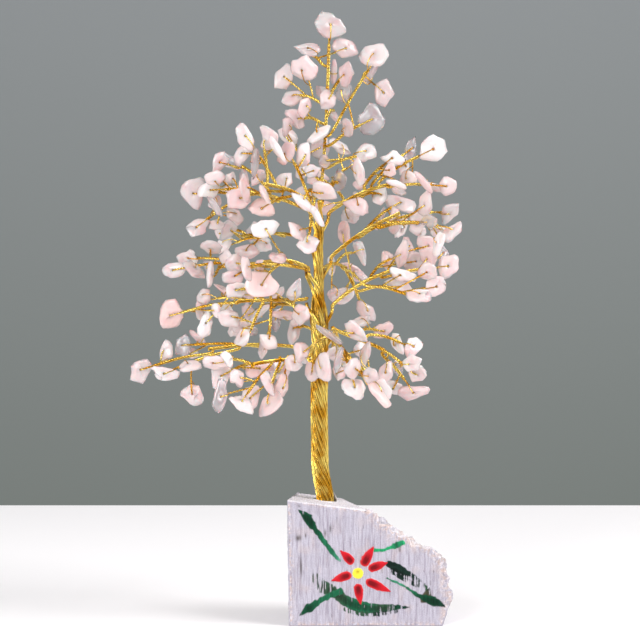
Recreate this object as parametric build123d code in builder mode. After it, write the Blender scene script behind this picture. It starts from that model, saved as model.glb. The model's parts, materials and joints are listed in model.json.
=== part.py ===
"""Gemstone tree ornament: drilled quartz chips on wire twigs, a trunk of twisted strands and a stone base.

Every branch is one strand of the trunk. The strands are twisted together from the socket in the base, each
peels off at its own height, and there its branch can be swung about the strand's upright end.
X is to the right, Y is to the back and Z is up. The origin is on the base's underside, below the trunk.
"""
import itertools
import math
import os
from collections import namedtuple

import numpy
from build123d import *

# How the photograph is read: its pixels lie on the upright plane through the trunk
PIXEL_PITCH = 0.36
VIEW_DISTANCE = 560.0
EYE_HEIGHT = 107.6
EYE_PIXEL = (320, 320)

# Stone base
BASE_WIDTH = 57.3
BASE_HEIGHT = 44.3
BASE_DEPTH = 27.0
BASE_LEFT = 11.6
BASE_EDGE_BREAK = 0.7
BASE_CORNER_CUT = 3.6
BASE_BREAK_LEAN = 4.2
SOCKET_DEPTH = 14.0
GLUE_WALL = 0.9
GLUE_RISE = 0.8
GLUE_CLEARANCE = 0.12

# Trunk: a core strand, a ring of strands round it and an outer ring round that
STRAND_RADIUS = 0.6
INNER_RING_RADIUS = 1.36
OUTER_RING_RADIUS = 2.74
LEADER_RADIUS = 0.62
TWIST_PITCH = 46.0
STATION_PITCH = 6.0
PEEL_LENGTH = 5.5
STUB_HEIGHT = 1.3
STUB_STAND_OFF = 0.5

# Wires
STEM_RADIUS = 0.78
PIVOT_RADIUS = 0.84
PIVOT_HEIGHT = 2.0
TWIG_RADIUS = 0.5
STALK_RADIUS = 0.36
SWING_GAP = 0.05
WIRE_GAP = 0.12
STALK_LENGTH = 5.2
STALK_STAGGER = 2.6
STEM_BOW = 2.2
TWIG_BOW = 1.3

# Quartz chips
CHIP_LENGTH = 8.2
CHIP_WIDTH = 5.9
CHIP_THICKNESS = 2.9
CHIP_HOLE_RADIUS = 0.62
CHIP_GAP = 0.4
SWING_ROOM = 2.4

# Crown
CROWN_HALF_DEPTH = 48.0
SETTLE_STEP = 1.0
SETTLE_TRIES = 25

# Angles, counts and shares
FACING_YAW = 48.0
FACING_PITCH = 30.0
OUTER_RING_STRANDS = 12
BASE_BREAK_CORNERS = (5, 9)
STRAND_SIDES = 5
STEM_SIDES = 6
PIVOT_SIDES = 8
TWIG_SIDES = 3
STALK_SIDES = 3
HOLE_SIDES = 4
GLUE_SIDES = 16
GOLDEN_SHARE = 0.618034
TWIG_BEND_SHARE = 0.4
FIRST_TWIG_SHARE = 0.4
LAST_TWIG_SHARE = 0.95
LONGEST_STALK_SHARE = 0.45
LEAST_SINE_SHARE = 0.45

# Outline of the base's front, from its lower left corner, in shares of its width and height
BASE_OUTLINE_SHARES = (
    (0.012, 0.0), (0.955, 0.0), (0.985, 0.10), (1.0, 0.27), (0.972, 0.46), (0.91, 0.585),
    (0.80, 0.65), (0.655, 0.75), (0.56, 0.85), (0.48, 0.925), (0.0, 1.0),
)

# Chip outlines, in shares of each chip's own length and width
CHIP_OUTLINE_SHARES = {
    "slab": ((0.5, 0.06), (0.2, 0.48), (-0.34, 0.4), (-0.5, -0.12), (-0.12, -0.5), (0.36, -0.38)),
    "plate": ((0.5, -0.04), (0.2, 0.47), (-0.36, 0.38), (-0.46, -0.22), (0.1, -0.5)),
    "leaf": ((0.5, -0.1), (0.14, 0.44), (-0.42, 0.24), (-0.36, -0.3), (0.16, -0.5)),
    "pebble": ((0.5, 0.02), (0.16, 0.48), (-0.4, 0.34), (-0.42, -0.28), (0.14, -0.5)),
    "rod": ((0.49, 0.18), (-0.3, 0.5), (-0.5, -0.04), (-0.24, -0.5), (0.44, -0.3)),
    "wedge": ((0.47, 0.2), (-0.1, 0.5), (-0.48, 0.12), (-0.32, -0.44), (0.38, -0.24)),
    "bit": ((0.46, 0.16), (-0.06, 0.5), (-0.48, 0.06), (-0.2, -0.46), (0.3, -0.4)),
}
# Each shape's length, width and thickness as shares of the usual chip
CHIP_SIZE_SHARES = {
    "slab": (1.32, 1.34, 0.95),
    "plate": (1.12, 1.1, 0.9),
    "leaf": (1.22, 0.9, 0.86),
    "pebble": (0.9, 0.98, 1.12),
    "rod": (1.24, 0.76, 1.08),
    "wedge": (1.02, 0.9, 1.0),
    "bit": (0.74, 0.74, 0.9),
}

# Back face, waist and front face: level through the thickness and scale of the outline
CHIP_SECTION_SHARES = ((-0.5, 0.68), (0.04, 1.0), (0.5, 0.74))

# Steps aside and up, as pixels, that a chip may take where its own place is not clear
SLIDE_PIXELS = (
    (0, 0), (5, 0), (-5, 0), (0, 5), (0, -5), (8, 8), (-8, 8), (8, -8), (-8, -8), (13, 0), (-13, 0),
)

# The trunk's axis from its foot to the top of the leader, as pixels of the photograph
TRUNK_AXIS_PIXELS = (
    (326, 540), (325, 494), (320, 470), (319, 400), (320, 330), (318, 250), (320, 205), (326, 130), (329, 44),
)

Branch = namedtuple("Branch", "name exit_row end twigs")
Strand = namedtuple("Strand", "name ring_radius angle exit_height")
Rod = namedtuple("Rod", "start end radius branch piece")
Chip = namedtuple("Chip", "plane sizes shape")
Run = namedtuple("Run", "points radius sides")

# Each branch: the row where it leaves the trunk, its stem's end (column, row, depth share), and its twigs.
# Each twig: its depth share, then its chips (column, row, shape, turn), the tip first.
BRANCHES = (
    Branch("low_left", 352, (208, 349, 0.04), (
        (0.16, (181, 345, "pebble", 70), (196, 343, "plate", 30), (188, 355, "bit", 0)),
        (-0.06, (164, 373, "rod", -5), (189, 371, "plate", -15), (191, 394, "plate", -28)),
        (0.04, (140, 370, "plate", 65), (162, 350, "pebble", 15)),
    )),
    Branch("low_front_left", 357, (252, 366, -0.5), (
        (-0.32, (291, 367, "pebble", 60), (279, 388, "wedge", 70), (278, 373, "plate", -60)),
        (-0.5, (266, 403, "slab", 12), (263, 385, "plate", -8), (250, 398, "plate", 60)),
        (-0.6, (240, 404, "leaf", -40), (219, 396, "rod", 85), (242, 377, "pebble", 35)),
        (-0.5, (221, 376, "plate", 75), (260, 368, "rod", 12)),
        (-0.42, (215, 361, "rod", 4), (233, 355, "pebble", 20)),
    )),
    Branch("low_front_right", 338, (350, 360, -0.46), (
        (-0.38, (305, 351, "plate", 55), (306, 375, "pebble", -60), (320, 359, "slab", 40)),
        (-0.5, (332, 329, "slab", 20), (345, 342, "leaf", -50), (331, 347, "bit", 0)),
        (-0.56, (355, 386, "plate", -30), (344, 371, "wedge", 20), (347, 357, "leaf", -70)),
        (-0.48, (375, 397, "rod", -62), (357, 369, "plate", -20), (371, 374, "wedge", 10)),
        (-0.34, (382, 392, "leaf", -75), (368, 357, "leaf", 55)),
    )),
    Branch("low_right", 320, (386, 352, 0.0), (
        (0.14, (385, 332, "wedge", 30), (363, 326, "plate", -35)),
        (0.02, (412, 348, "leaf", 55), (393, 347, "rod", 62)),
        (-0.1, (416, 376, "leaf", 35), (414, 362, "leaf", 25), (398, 367, "plate", 10),
         (385, 374, "leaf", 70)),
        (0.06, (413, 391, "rod", 10), (393, 390, "leaf", -40)),
    )),
    Branch("low_back", 331, (318, 344, 0.56), (
        (0.36, (292, 328, "rod", 88), (290, 310, "leaf", 20)),
        (0.6, (340, 352, "plate", 10), (328, 336, "leaf", 70)),
        (0.72, (308, 362, "plate", -20), (320, 374, "wedge", 40)),
        (0.66, (347, 370, "leaf", -30), (362, 350, "pebble", 15)),
    )),
    Branch("low_back_left", 316, (260, 306, 0.56), (
        (0.46, (281, 299, "wedge", 10), (274, 320, "leaf", 65)),
        (0.58, (247, 316, "leaf", -50), (255, 309, "rod", 78)),
        (0.7, (252, 294, "plate", 20), (236, 326, "wedge", 45)),
    )),
    Branch("left_side", 303, (236, 303, -0.08), (
        (-0.26, (304, 315, "plate", 50), (293, 287, "rod", 88)),
        (-0.24, (270, 338, "pebble", -40), (246, 327, "rod", -18), (266, 350, "bit", -70)),
        (-0.3, (247, 341, "plate", -30), (233, 316, "plate", 8)),
        (-0.04, (236, 290, "leaf", 8)),
        (0.1, (208, 300, "pebble", 40), (221, 294, "leaf", 65), (206, 323, "rod", 75),
         (231, 303, "pebble", 60)),
        (0.16, (169, 316, "slab", 70), (196, 312, "plate", 45), (212, 311, "bit", -55)),
    )),
    Branch("right_side", 300, (392, 270, -0.06), (
        (-0.06, (399, 287, "rod", -10), (402, 274, "rod", -6)),
        (-0.24, (420, 299, "leaf", -4), (434, 286, "plate", 15), (426, 273, "pebble", 30)),
        (0.16, (391, 258, "leaf", 80), (399, 253, "rod", 62), (411, 261, "plate", 40)),
        (0.0, (447, 267, "plate", 50), (437, 256, "pebble", 20), (426, 260, "plate", 60)),
        (0.24, (411, 245, "leaf", 40), (424, 246, "plate", -25)),
    )),
    Branch("mid_left", 281, (218, 267, 0.26), (
        (0.34, (191, 257, "leaf", 15), (210, 251, "plate", 50), (213, 265, "bit", -40)),
        (0.24, (172, 270, "leaf", 3), (191, 273, "plate", -35)),
        (0.16, (215, 277, "leaf", 55), (224, 264, "plate", 70)),
    )),
    Branch("mid_front_left", 262, (264, 262, -0.34), (
        (-0.36, (276, 263, "pebble", 80), (265, 228, "plate", 20)),
        (-0.28, (261, 286, "slab", -8), (264, 269, "wedge", 30), (250, 266, "plate", 60)),
        (-0.3, (235, 276, "leaf", 15), (238, 263, "leaf", 8)),
    )),
    Branch("mid_back", 267, (346, 268, 0.58), (
        (0.42, (336, 265, "plate", 10), (331, 295, "leaf", -20)),
        (0.6, (356, 253, "rod", -72), (350, 273, "leaf", -75)),
        (0.74, (362, 283, "rod", -65), (342, 293, "plate", 40)),
        (0.54, (364, 312, "leaf", -30), (333, 225, "rod", 65)),
    )),
    Branch("mid_right", 255, (400, 213, 0.08), (
        (0.16, (392, 222, "rod", 82), (376, 217, "leaf", 75)),
        (0.3, (402, 201, "slab", -30), (405, 218, "plate", 10)),
        (0.0, (416, 224, "leaf", 74), (423, 206, "leaf", 55)),
        (-0.12, (452, 228, "rod", 45), (443, 244, "leaf", 60), (434, 237, "pebble", 10),
         (433, 223, "wedge", 5)),
        (0.22, (446, 212, "leaf", 50), (420, 236, "bit", -20)),
    )),
    Branch("left_back", 240, (242, 236, 0.54), (
        (0.44, (250, 232, "plate", 10), (248, 247, "leaf", -10)),
        (0.58, (228, 246, "plate", 20), (232, 231, "plate", 70)),
        (0.68, (218, 234, "leaf", -50), (262, 246, "leaf", 25)),
    )),
    Branch("up_front", 232, (310, 200, -0.36), (
        (-0.42, (308, 246, "plate", -32), (293, 234, "plate", 20), (312, 218, "plate", -4)),
        (-0.4, (305, 198, "leaf", -35), (322, 194, "plate", -12)),
        (-0.32, (289, 153, "leaf", 45), (306, 155, "leaf", 75), (311, 172, "bit", 5)),
    )),
    Branch("up_front_left", 222, (264, 184, -0.38), (
        (-0.24, (261, 209, "plate", -20), (270, 199, "plate", 15), (285, 183, "wedge", 40)),
        (-0.36, (241, 198, "plate", 5), (249, 187, "plate", 60), (262, 179, "leaf", 20)),
        (-0.3, (244, 138, "leaf", -60), (241, 153, "rod", 60), (261, 164, "rod", -80)),
        (-0.46, (263, 141, "slab", 20), (271, 150, "leaf", -30)),
    )),
    Branch("up_right", 214, (390, 184, 0.04), (
        (-0.06, (357, 209, "plate", -35), (363, 197, "pebble", 85)),
        (0.12, (382, 194, "leaf", 60), (363, 187, "bit", -15)),
        (-0.08, (392, 159, "wedge", -15), (394, 169, "bit", 30), (398, 179, "leaf", -60)),
        (0.2, (414, 147, "rod", 70), (408, 167, "wedge", 20)),
        (0.06, (432, 150, "slab", 32), (412, 178, "wedge", 0)),
        (-0.1, (446, 186, "pebble", 35), (432, 192, "leaf", 50), (420, 186, "plate", -40),
         (402, 188, "bit", 10)),
    )),
    Branch("up_left", 210, (232, 190, 0.0), (
        (0.08, (234, 191, "leaf", -15), (240, 181, "plate", 75)),
        (0.2, (232, 159, "rod", -8), (217, 162, "leaf", 55)),
        (-0.1, (211, 190, "leaf", 10), (217, 175, "pebble", 30), (226, 186, "bit", 30)),
        (-0.24, (194, 229, "leaf", 32), (212, 211, "plate", 20), (230, 212, "plate", 10),
         (218, 222, "bit", 40)),
        (0.02, (193, 194, "slab", 68), (211, 200, "wedge", -40)),
    )),
    Branch("up_back", 195, (336, 186, 0.5), (
        (0.42, (338, 183, "leaf", 85), (321, 178, "wedge", 10)),
        (0.56, (352, 166, "leaf", 40), (337, 150, "plate", -10)),
        (0.66, (308, 192, "plate", 30), (300, 168, "leaf", 60)),
        (0.6, (350, 214, "wedge", -20), (322, 208, "leaf", 15)),
    )),
)

# Twigs of the leader: the row where each leaves it, then as on a branch
LEADER_TWIGS = (
    (180, (0.1, (285, 136, "leaf", -40), (282, 125, "wedge", 25), (321, 147, "plate", 60))),
    (168, (-0.1, (368, 154, "plate", 30), (363, 172, "plate", 65), (328, 160, "bit", 20))),
    (146, (-0.04, (372, 119, "slab", 60), (346, 92, "pebble", 80), (352, 126, "plate", 20))),
    (136, (0.1, (376, 58, "slab", -18), (383, 93, "plate", 75), (365, 70, "rod", -65))),
    (124, (-0.1, (299, 118, "rod", -60), (301, 107, "wedge", 30), (316, 131, "plate", 50))),
    (116, (0.24, (335, 110, "leaf", -45), (322, 97, "plate", 10))),
    (104, (0.06, (292, 94, "plate", 60), (284, 76, "plate", 70), (306, 69, "slab", 10))),
    (94, (-0.16, (348, 73, "leaf", 60), (330, 98, "pebble", 80))),
    (82, (0.2, (329, 72, "leaf", 55))),
    (66, (0.02, (307, 53, "leaf", 15), (344, 50, "plate", -15))),
)
LEADER_TIP = (329, 26, "slab", -12)


def photo_point(column, row, depth):
    """The point at this depth behind the trunk's plane that the photograph shows at a pixel."""
    pitch = PIXEL_PITCH * (1 + depth / VIEW_DISTANCE)
    return Vector((column - EYE_PIXEL[0]) * pitch, depth, EYE_HEIGHT + (EYE_PIXEL[1] - row) * pitch)


def row_height(row):
    return photo_point(EYE_PIXEL[0], row, 0).Z


AXIS_POINTS = [photo_point(column, row, 0) for column, row in TRUNK_AXIS_PIXELS]
SOCKET_FLOOR = BASE_HEIGHT - SOCKET_DEPTH
TRUNK_FOOT = SOCKET_FLOOR + GLUE_CLEARANCE


def trunk_axis(height):
    """The trunk's centre at a height, by straight runs between the axis points."""
    for low, high in zip(AXIS_POINTS, AXIS_POINTS[1:]):
        if height <= high.Z:
            break
    share = (height - low.Z) / (high.Z - low.Z)
    return Vector(low.X + (high.X - low.X) * share, 0, height)


def twist(height):
    """The strands turn clockwise, seen from above, as they climb."""
    return -360 * (height - TRUNK_FOOT) / TWIST_PITCH


def wrapped(angle):
    return (angle + 180) % 360 - 180


def polar(radius, angle):
    return Vector(radius * math.cos(math.radians(angle)), radius * math.sin(math.radians(angle)), 0)


# Where each strand lies in the twist and where it leaves
def branch_end(branch):
    column, row, depth_share = branch.end
    return photo_point(column, row, depth_share * CROWN_HALF_DEPTH)


def slot_angle(branch):
    """The untwisted angle of a strand that leaves towards its branch's end."""
    height = row_height(branch.exit_row)
    outward = branch_end(branch) - trunk_axis(height)
    return (math.degrees(math.atan2(outward.Y, outward.X)) - twist(height)) % 360


def ring_of_strands(branches, ring_radius):
    """Strands in even slots of a ring, each exit raised or lowered so that it still points outwards."""
    ordered = sorted(branches, key=slot_angle)
    spacing = 360 / len(ordered)
    strands = []
    for slot, branch in enumerate(ordered):
        miss = wrapped(slot_angle(branch) - slot * spacing)
        exit_height = row_height(branch.exit_row) - miss / 360 * TWIST_PITCH
        strands.append(Strand(branch.name, ring_radius, slot * spacing, exit_height))
    return strands


lowest_first = sorted(BRANCHES, key=lambda branch: -branch.exit_row)
OUTER_STRANDS = ring_of_strands(lowest_first[:OUTER_RING_STRANDS], OUTER_RING_RADIUS)
INNER_STRANDS = ring_of_strands(lowest_first[OUTER_RING_STRANDS:], INNER_RING_RADIUS)
STRANDS = OUTER_STRANDS + INNER_STRANDS
OUTER_TOP = max(strand.exit_height for strand in OUTER_STRANDS)
INNER_TOP = max(strand.exit_height for strand in INNER_STRANDS)
LEADER_TOP = AXIS_POINTS[-1]


def bark_radius(height):
    """The radius of the outermost ring that still has strands."""
    if height <= OUTER_TOP:
        return OUTER_RING_RADIUS + STRAND_RADIUS
    if height <= INNER_TOP:
        return INNER_RING_RADIUS + STRAND_RADIUS
    return LEADER_RADIUS


def strand_point(strand, height):
    return trunk_axis(height) + polar(strand.ring_radius, strand.angle + twist(height))


def strand_end(strand):
    """The middle of a strand's upright end, just outside the trunk."""
    stand_off = bark_radius(strand.exit_height) + STUB_STAND_OFF + PIVOT_RADIUS
    return trunk_axis(strand.exit_height) + polar(stand_off, strand.angle + twist(strand.exit_height))


def stations(top):
    """Heights from the trunk's foot to a top, the same for all strands, with every bend of the axis."""
    bends = [TRUNK_FOOT] + [point.Z for point in AXIS_POINTS if point.Z > TRUNK_FOOT]
    heights = []
    for low, high in zip(bends, bends[1:]):
        count = math.ceil((high - low) / STATION_PITCH)
        heights += [low + (high - low) * step / count for step in range(count)]
    return [height for height in heights if height < top - STUB_HEIGHT] + [top]


def strand_run(strand):
    """A strand's helix as straight runs, then outwards to its upright end."""
    helix = [strand_point(strand, height) for height in stations(strand.exit_height - PEEL_LENGTH)]
    end = strand_end(strand)
    return Run(helix + [end - Vector(0, 0, STUB_HEIGHT), end], STRAND_RADIUS, STRAND_SIDES)


def leader_run():
    """The core strand, which runs on above the trunk as the leader."""
    foot = trunk_axis(TRUNK_FOOT)
    return Run([foot] + [point for point in AXIS_POINTS if point.Z > foot.Z], LEADER_RADIUS, STRAND_SIDES)


# Clearances between wires and chips as they are placed
def clearances(rod, others):
    """The least distances between a straight rod's surface and those of other rods."""
    start = numpy.array(rod.start)
    along = numpy.array(rod.end) - start
    starts = numpy.array([other.start for other in others])
    across = numpy.array([other.end for other in others]) - starts
    offset = start - starts
    a, b, c = along @ along, across @ along, (across * across).sum(axis=1)
    d, e = offset @ along, (offset * across).sum(axis=1)
    spread = a * c - b * b
    nearest = numpy.clip((b * e - c * d) / numpy.where(spread > 0, spread, 1), 0, 1)
    other_nearest = numpy.clip((b * nearest + e) / c, 0, 1)
    nearest = numpy.clip((b * other_nearest - d) / a, 0, 1)
    gaps = offset + nearest[:, None] * along - other_nearest[:, None] * across
    return numpy.linalg.norm(gaps, axis=1) - rod.radius - numpy.array([other.radius for other in others])


def hangs_clear(rods):
    for rod in rods:
        others = [other for other in placed_rods if other.piece != rod.piece]
        room = [CHIP_GAP if other.branch == rod.branch else SWING_ROOM for other in others]
        if (clearances(rod, others) < room).any():
            return False
    return True


def rod_between(start, end, radius, branch_name, piece):
    return Rod(tuple(start), tuple(end), radius, branch_name, piece)


def settle_places(column, row, depth):
    """A chip's own place first, then steps to the front and back, then the same from pixels near by."""
    for aside, rise in SLIDE_PIXELS:
        for step in range(SETTLE_TRIES):
            shift = SETTLE_STEP * ((step + 1) // 2) * (1 if step % 2 else -1)
            yield photo_point(column + aside, row - rise, depth + shift)


placed_rods = []
unsettled = []
side_chips_to_hang = []
wire_runs = {}
chip_places = {}
chip_numbers = itertools.count(1)


def facing(number):
    """The way a chip's drilled hole points: mostly to the front, turned from chip to chip."""
    yaw = FACING_YAW * (2 * (number * GOLDEN_SHARE % 1) - 1)
    pitch = FACING_PITCH * (2 * (number * GOLDEN_SHARE**2 % 1) - 1)
    return Vector(0, -1, 0).rotate(Axis.Z, yaw).rotate(Axis.X, pitch)


def chip_at(bend, along, number, shape, turn):
    """A chip whose hole stands on the stalk's bend, square to the stalk, on its near or far side by turns."""
    usual = (CHIP_LENGTH, CHIP_WIDTH, CHIP_THICKNESS)
    sizes = [share * size for share, size in zip(CHIP_SIZE_SHARES[shape], usual)]
    side = 1 if number % 2 else -1
    front = facing(number)
    normal = (front - along * front.dot(along)).normalized() * side
    lay = Vector(math.cos(math.radians(turn)), 0, math.sin(math.radians(turn)))
    lay = (lay - normal * lay.dot(normal)).normalized()
    centre = bend + normal * (sizes[2] / 2 + WIRE_GAP + STALK_RADIUS)
    return Chip(Plane(origin=centre, x_dir=lay, z_dir=normal), sizes, shape)


def chip_rod(chip, branch_name, piece):
    length, width, _ = chip.sizes
    reach = chip.plane.x_dir * ((length - width) / 2)
    return rod_between(chip.plane.origin - reach, chip.plane.origin + reach, width / 2, branch_name, piece)


def place_chip(branch_name, chip, start, bend):
    """Keeps a settled chip and its stalk, which bends at the chip's face and goes through its hole."""
    pin_end = chip.plane.origin + chip.plane.z_dir * (chip.sizes[2] / 2)
    wire_runs[branch_name].append(Run([start, bend, pin_end], STALK_RADIUS, STALK_SIDES))
    chip_places[branch_name].append(chip)


def back_along(points, distance):
    """The point at a distance back from a run's end, and the direction of the run there."""
    for start, end in zip(points[-2::-1], points[:0:-1]):
        length = (end - start).length
        if distance < length:
            break
        distance -= length
    along = (end - start).normalized()
    return end - along * min(distance, length), along


def add_twig(branch_name, root, stem_along, stem_radius, twig):
    """A twig from the stem to its tip chip, then its side chips on stalks that leave it one after another."""
    depth_share, (column, row, shape, turn), *side_chips = twig
    number = next(chip_numbers)
    piece = f"{branch_name}_{number}"
    for bend in settle_places(column, row, depth_share * CROWN_HALF_DEPTH):
        reach = bend - root
        radial = (reach - stem_along * reach.dot(stem_along)).normalized()
        start = root + radial * (stem_radius + WIRE_GAP)
        elbow = start + radial * (2 * TWIG_RADIUS)
        middle = elbow + (bend - elbow) * TWIG_BEND_SHARE + Vector(0, 0, TWIG_BOW)
        along = (bend - middle).normalized()
        stalk_length = min(STALK_LENGTH, LONGEST_STALK_SHARE * (bend - middle).length)
        twig_end = bend - along * stalk_length
        chip = chip_at(bend, along, number, shape, turn)
        rods = [
            rod_between(elbow, middle, TWIG_RADIUS, branch_name, branch_name),
            rod_between(middle, bend, TWIG_RADIUS, branch_name, piece),
            chip_rod(chip, branch_name, piece),
        ]
        if hangs_clear(rods):
            break
    else:
        unsettled.append((branch_name, column, row))
    placed_rods.extend(rods)
    points = [start, elbow, middle, twig_end]
    wire_runs[branch_name].append(Run(points, TWIG_RADIUS, TWIG_SIDES))
    place_chip(branch_name, chip, twig_end + along * SWING_GAP, bend)
    for place, side_chip in enumerate(side_chips, 1):
        leave, along = back_along(points, STALK_STAGGER * place)
        side_chips_to_hang.append((branch_name, leave, along, depth_share, side_chip))


def add_side_chip(branch_name, leave, along, depth_share, side_chip):
    column, row, shape, turn = side_chip
    number = next(chip_numbers)
    piece = f"{branch_name}_{number}"
    for bend in settle_places(column, row, depth_share * CROWN_HALF_DEPTH):
        reach = (bend - leave).normalized()
        cosine = reach.dot(along)
        sine = max(LEAST_SINE_SHARE, math.sqrt(1 - cosine**2))
        start = leave + reach * ((TWIG_RADIUS + WIRE_GAP + STALK_RADIUS * abs(cosine)) / sine)
        chip = chip_at(bend, reach, number, shape, turn)
        rods = [
            rod_between(start + reach * (2 * STALK_RADIUS), bend, STALK_RADIUS, branch_name, piece),
            chip_rod(chip, branch_name, piece),
        ]
        if hangs_clear(rods):
            break
    else:
        unsettled.append((branch_name, column, row))
    placed_rods.extend(rods)
    place_chip(branch_name, chip, start, bend)


# Trunk, strand ends and stems come first, then the twigs with their tips, then the side chips
trunk_heights = stations(LEADER_TOP.Z)
for low, high in zip(trunk_heights, trunk_heights[1:]):
    placed_rods.append(rod_between(trunk_axis(low), trunk_axis(high), bark_radius(low), "leader", "leader"))

stem_points = {}
for strand in STRANDS:
    branch = next(branch for branch in BRANCHES if branch.name == strand.name)
    foot = strand_end(strand) + Vector(0, 0, SWING_GAP)
    elbow = foot + Vector(0, 0, PIVOT_HEIGHT / 2)
    end = branch_end(branch)
    middle = elbow + (end - elbow) / 2 + Vector(0, 0, STEM_BOW)
    stem_points[branch.name] = [foot, elbow, middle, end]
    wire_runs[branch.name] = []
    chip_places[branch.name] = []
    peel = foot - Vector(0, 0, PEEL_LENGTH)
    placed_rods.append(rod_between(peel, elbow, PIVOT_RADIUS, "leader", branch.name))
    placed_rods.append(rod_between(elbow, middle, STEM_RADIUS, branch.name, branch.name))
    placed_rods.append(rod_between(middle, end, STEM_RADIUS, branch.name, branch.name))

wire_runs["leader"] = []
chip_places["leader"] = []
tip_bend = photo_point(*LEADER_TIP[:2], 0)
tip_along = (tip_bend - LEADER_TOP).normalized()
tip_chip = chip_at(tip_bend, tip_along, next(chip_numbers), *LEADER_TIP[2:])
place_chip("leader", tip_chip, LEADER_TOP + tip_along * WIRE_GAP, tip_bend)
placed_rods.append(chip_rod(tip_chip, "leader", "leader_tip"))

for row, twig in LEADER_TWIGS:
    root = trunk_axis(row_height(row))
    along = (trunk_axis(root.Z + STATION_PITCH) - root).normalized()
    add_twig("leader", root, along, LEADER_RADIUS, twig)

for branch in BRANCHES:
    foot, elbow, middle, end = stem_points[branch.name]
    length = (middle - elbow).length + (end - middle).length
    spread = (LAST_TWIG_SHARE - FIRST_TWIG_SHARE) / max(1, len(branch.twigs) - 1)
    for place, twig in reversed(list(enumerate(branch.twigs))):
        back_share = 1 - FIRST_TWIG_SHARE - place * spread
        root, along = back_along([elbow, middle, end], back_share * length)
        add_twig(branch.name, root, along, STEM_RADIUS, twig)

for side_chip in side_chips_to_hang:
    add_side_chip(*side_chip)


# Solids
def bent_wire(run):
    """A wire of even section along a run, mitred at its bends."""
    with BuildPart() as wire:
        with BuildLine():
            Polyline(*run.points)
        with BuildSketch(Plane(origin=run.points[0], z_dir=run.points[1] - run.points[0])):
            RegularPolygon(radius=run.radius, side_count=run.sides)
        sweep(transition=Transition.RIGHT)
    return wire.part


def branch_stem(points):
    """An upright pivot that stands on the strand's end, and the stem that leaves it sideways."""
    foot, elbow, middle, end = points
    with BuildPart() as stem:
        with BuildSketch(Plane(origin=foot)):
            RegularPolygon(radius=PIVOT_RADIUS, side_count=PIVOT_SIDES)
        extrude(amount=PIVOT_HEIGHT)
        with BuildLine():
            Polyline(elbow, middle, end)
        with BuildSketch(Plane(origin=elbow, z_dir=middle - elbow)):
            RegularPolygon(radius=STEM_RADIUS, side_count=STEM_SIDES)
        sweep(transition=Transition.RIGHT)
    return stem.part


def flat_sided(rings):
    """A solid with flat sides between one ring of corners and the next."""
    faces = [Face(Wire.make_polygon(rings[0])), Face(Wire.make_polygon(rings[-1]))]
    for low, high in zip(rings, rings[1:]):
        for corner in range(len(low)):
            sides = [low[corner - 1], low[corner], high[corner], high[corner - 1]]
            faces.append(Face(Wire.make_polygon(sides)))
    return Solid(Shell(faces))


def quartz_chip(chip):
    """A pebble that tapers from its waist to both faces, drilled through its thickness."""
    length, width, thickness = chip.sizes
    rings = []
    for level_share, scale_share in CHIP_SECTION_SHARES:
        corners = [
            (x_share * scale_share * length, y_share * scale_share * width, level_share * thickness)
            for x_share, y_share in CHIP_OUTLINE_SHARES[chip.shape]
        ]
        rings.append([chip.plane.from_local_coords(corner) for corner in corners])
    with BuildPart() as pebble:
        add(flat_sided(rings))
        with BuildSketch(chip.plane.offset(-thickness)):
            RegularPolygon(radius=CHIP_HOLE_RADIUS, side_count=HOLE_SIDES)
        extrude(amount=2 * thickness, mode=Mode.SUBTRACT)
    return pebble.part


SOCKET_CENTRE = trunk_axis(BASE_HEIGHT)
SOCKET_LEAN = abs(trunk_axis(TRUNK_FOOT).X - SOCKET_CENTRE.X)
GLUE_INNER_RADIUS = OUTER_RING_RADIUS + STRAND_RADIUS + SOCKET_LEAN + 2 * GLUE_CLEARANCE
SOCKET_RADIUS = GLUE_INNER_RADIUS + GLUE_WALL


def base_top(x):
    """The height of the base's sloping top."""
    (low_share, low_height), (high_share, high_height) = BASE_OUTLINE_SHARES[-2:]
    share = ((x + BASE_LEFT) / BASE_WIDTH - high_share) / (low_share - high_share)
    return BASE_HEIGHT * (high_height + (low_height - high_height) * share)


def broken_plane(corners):
    """The plane of the broken slope: it meets two corners just behind the front's edge and falls to the back."""
    (low_x, low_z), (high_x, high_z) = (corners[number] for number in BASE_BREAK_CORNERS)
    start = Vector(high_x, 2 * BASE_EDGE_BREAK - BASE_DEPTH / 2, high_z)
    down_slope = Vector(low_x - high_x, 0, low_z - high_z)
    to_back = Vector(0, BASE_DEPTH, -BASE_BREAK_LEAN)
    return Plane(origin=start, x_dir=down_slope, z_dir=down_slope.cross(to_back))


def base_block():
    """The sawn and broken stone, with the drilled socket that takes the trunk's foot."""
    with BuildPart() as base:
        with BuildSketch(Plane.XZ):
            corners = [(x * BASE_WIDTH - BASE_LEFT, z * BASE_HEIGHT) for x, z in BASE_OUTLINE_SHARES]
            Polygon(*corners, align=None)
        extrude(amount=BASE_DEPTH / 2, both=True)
        split(bisect_by=broken_plane(corners), keep=Keep.BOTTOM)
        left_edges = base.edges().filter_by(GeomType.LINE).sort_by(Axis.X)[:4]
        chamfer(left_edges.sort_by(Axis.Y)[-1], BASE_CORNER_CUT)
        front_edges = base.faces().sort_by(Axis.Y)[0].edges()
        chamfer(front_edges.sort_by(Axis.Z)[1:], BASE_EDGE_BREAK)
        with BuildSketch(Plane.XY.offset(SOCKET_FLOOR)):
            with Locations((SOCKET_CENTRE.X, SOCKET_CENTRE.Y)):
                Circle(SOCKET_RADIUS)
        extrude(amount=2 * SOCKET_DEPTH, mode=Mode.SUBTRACT)
    return base.part


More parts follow.
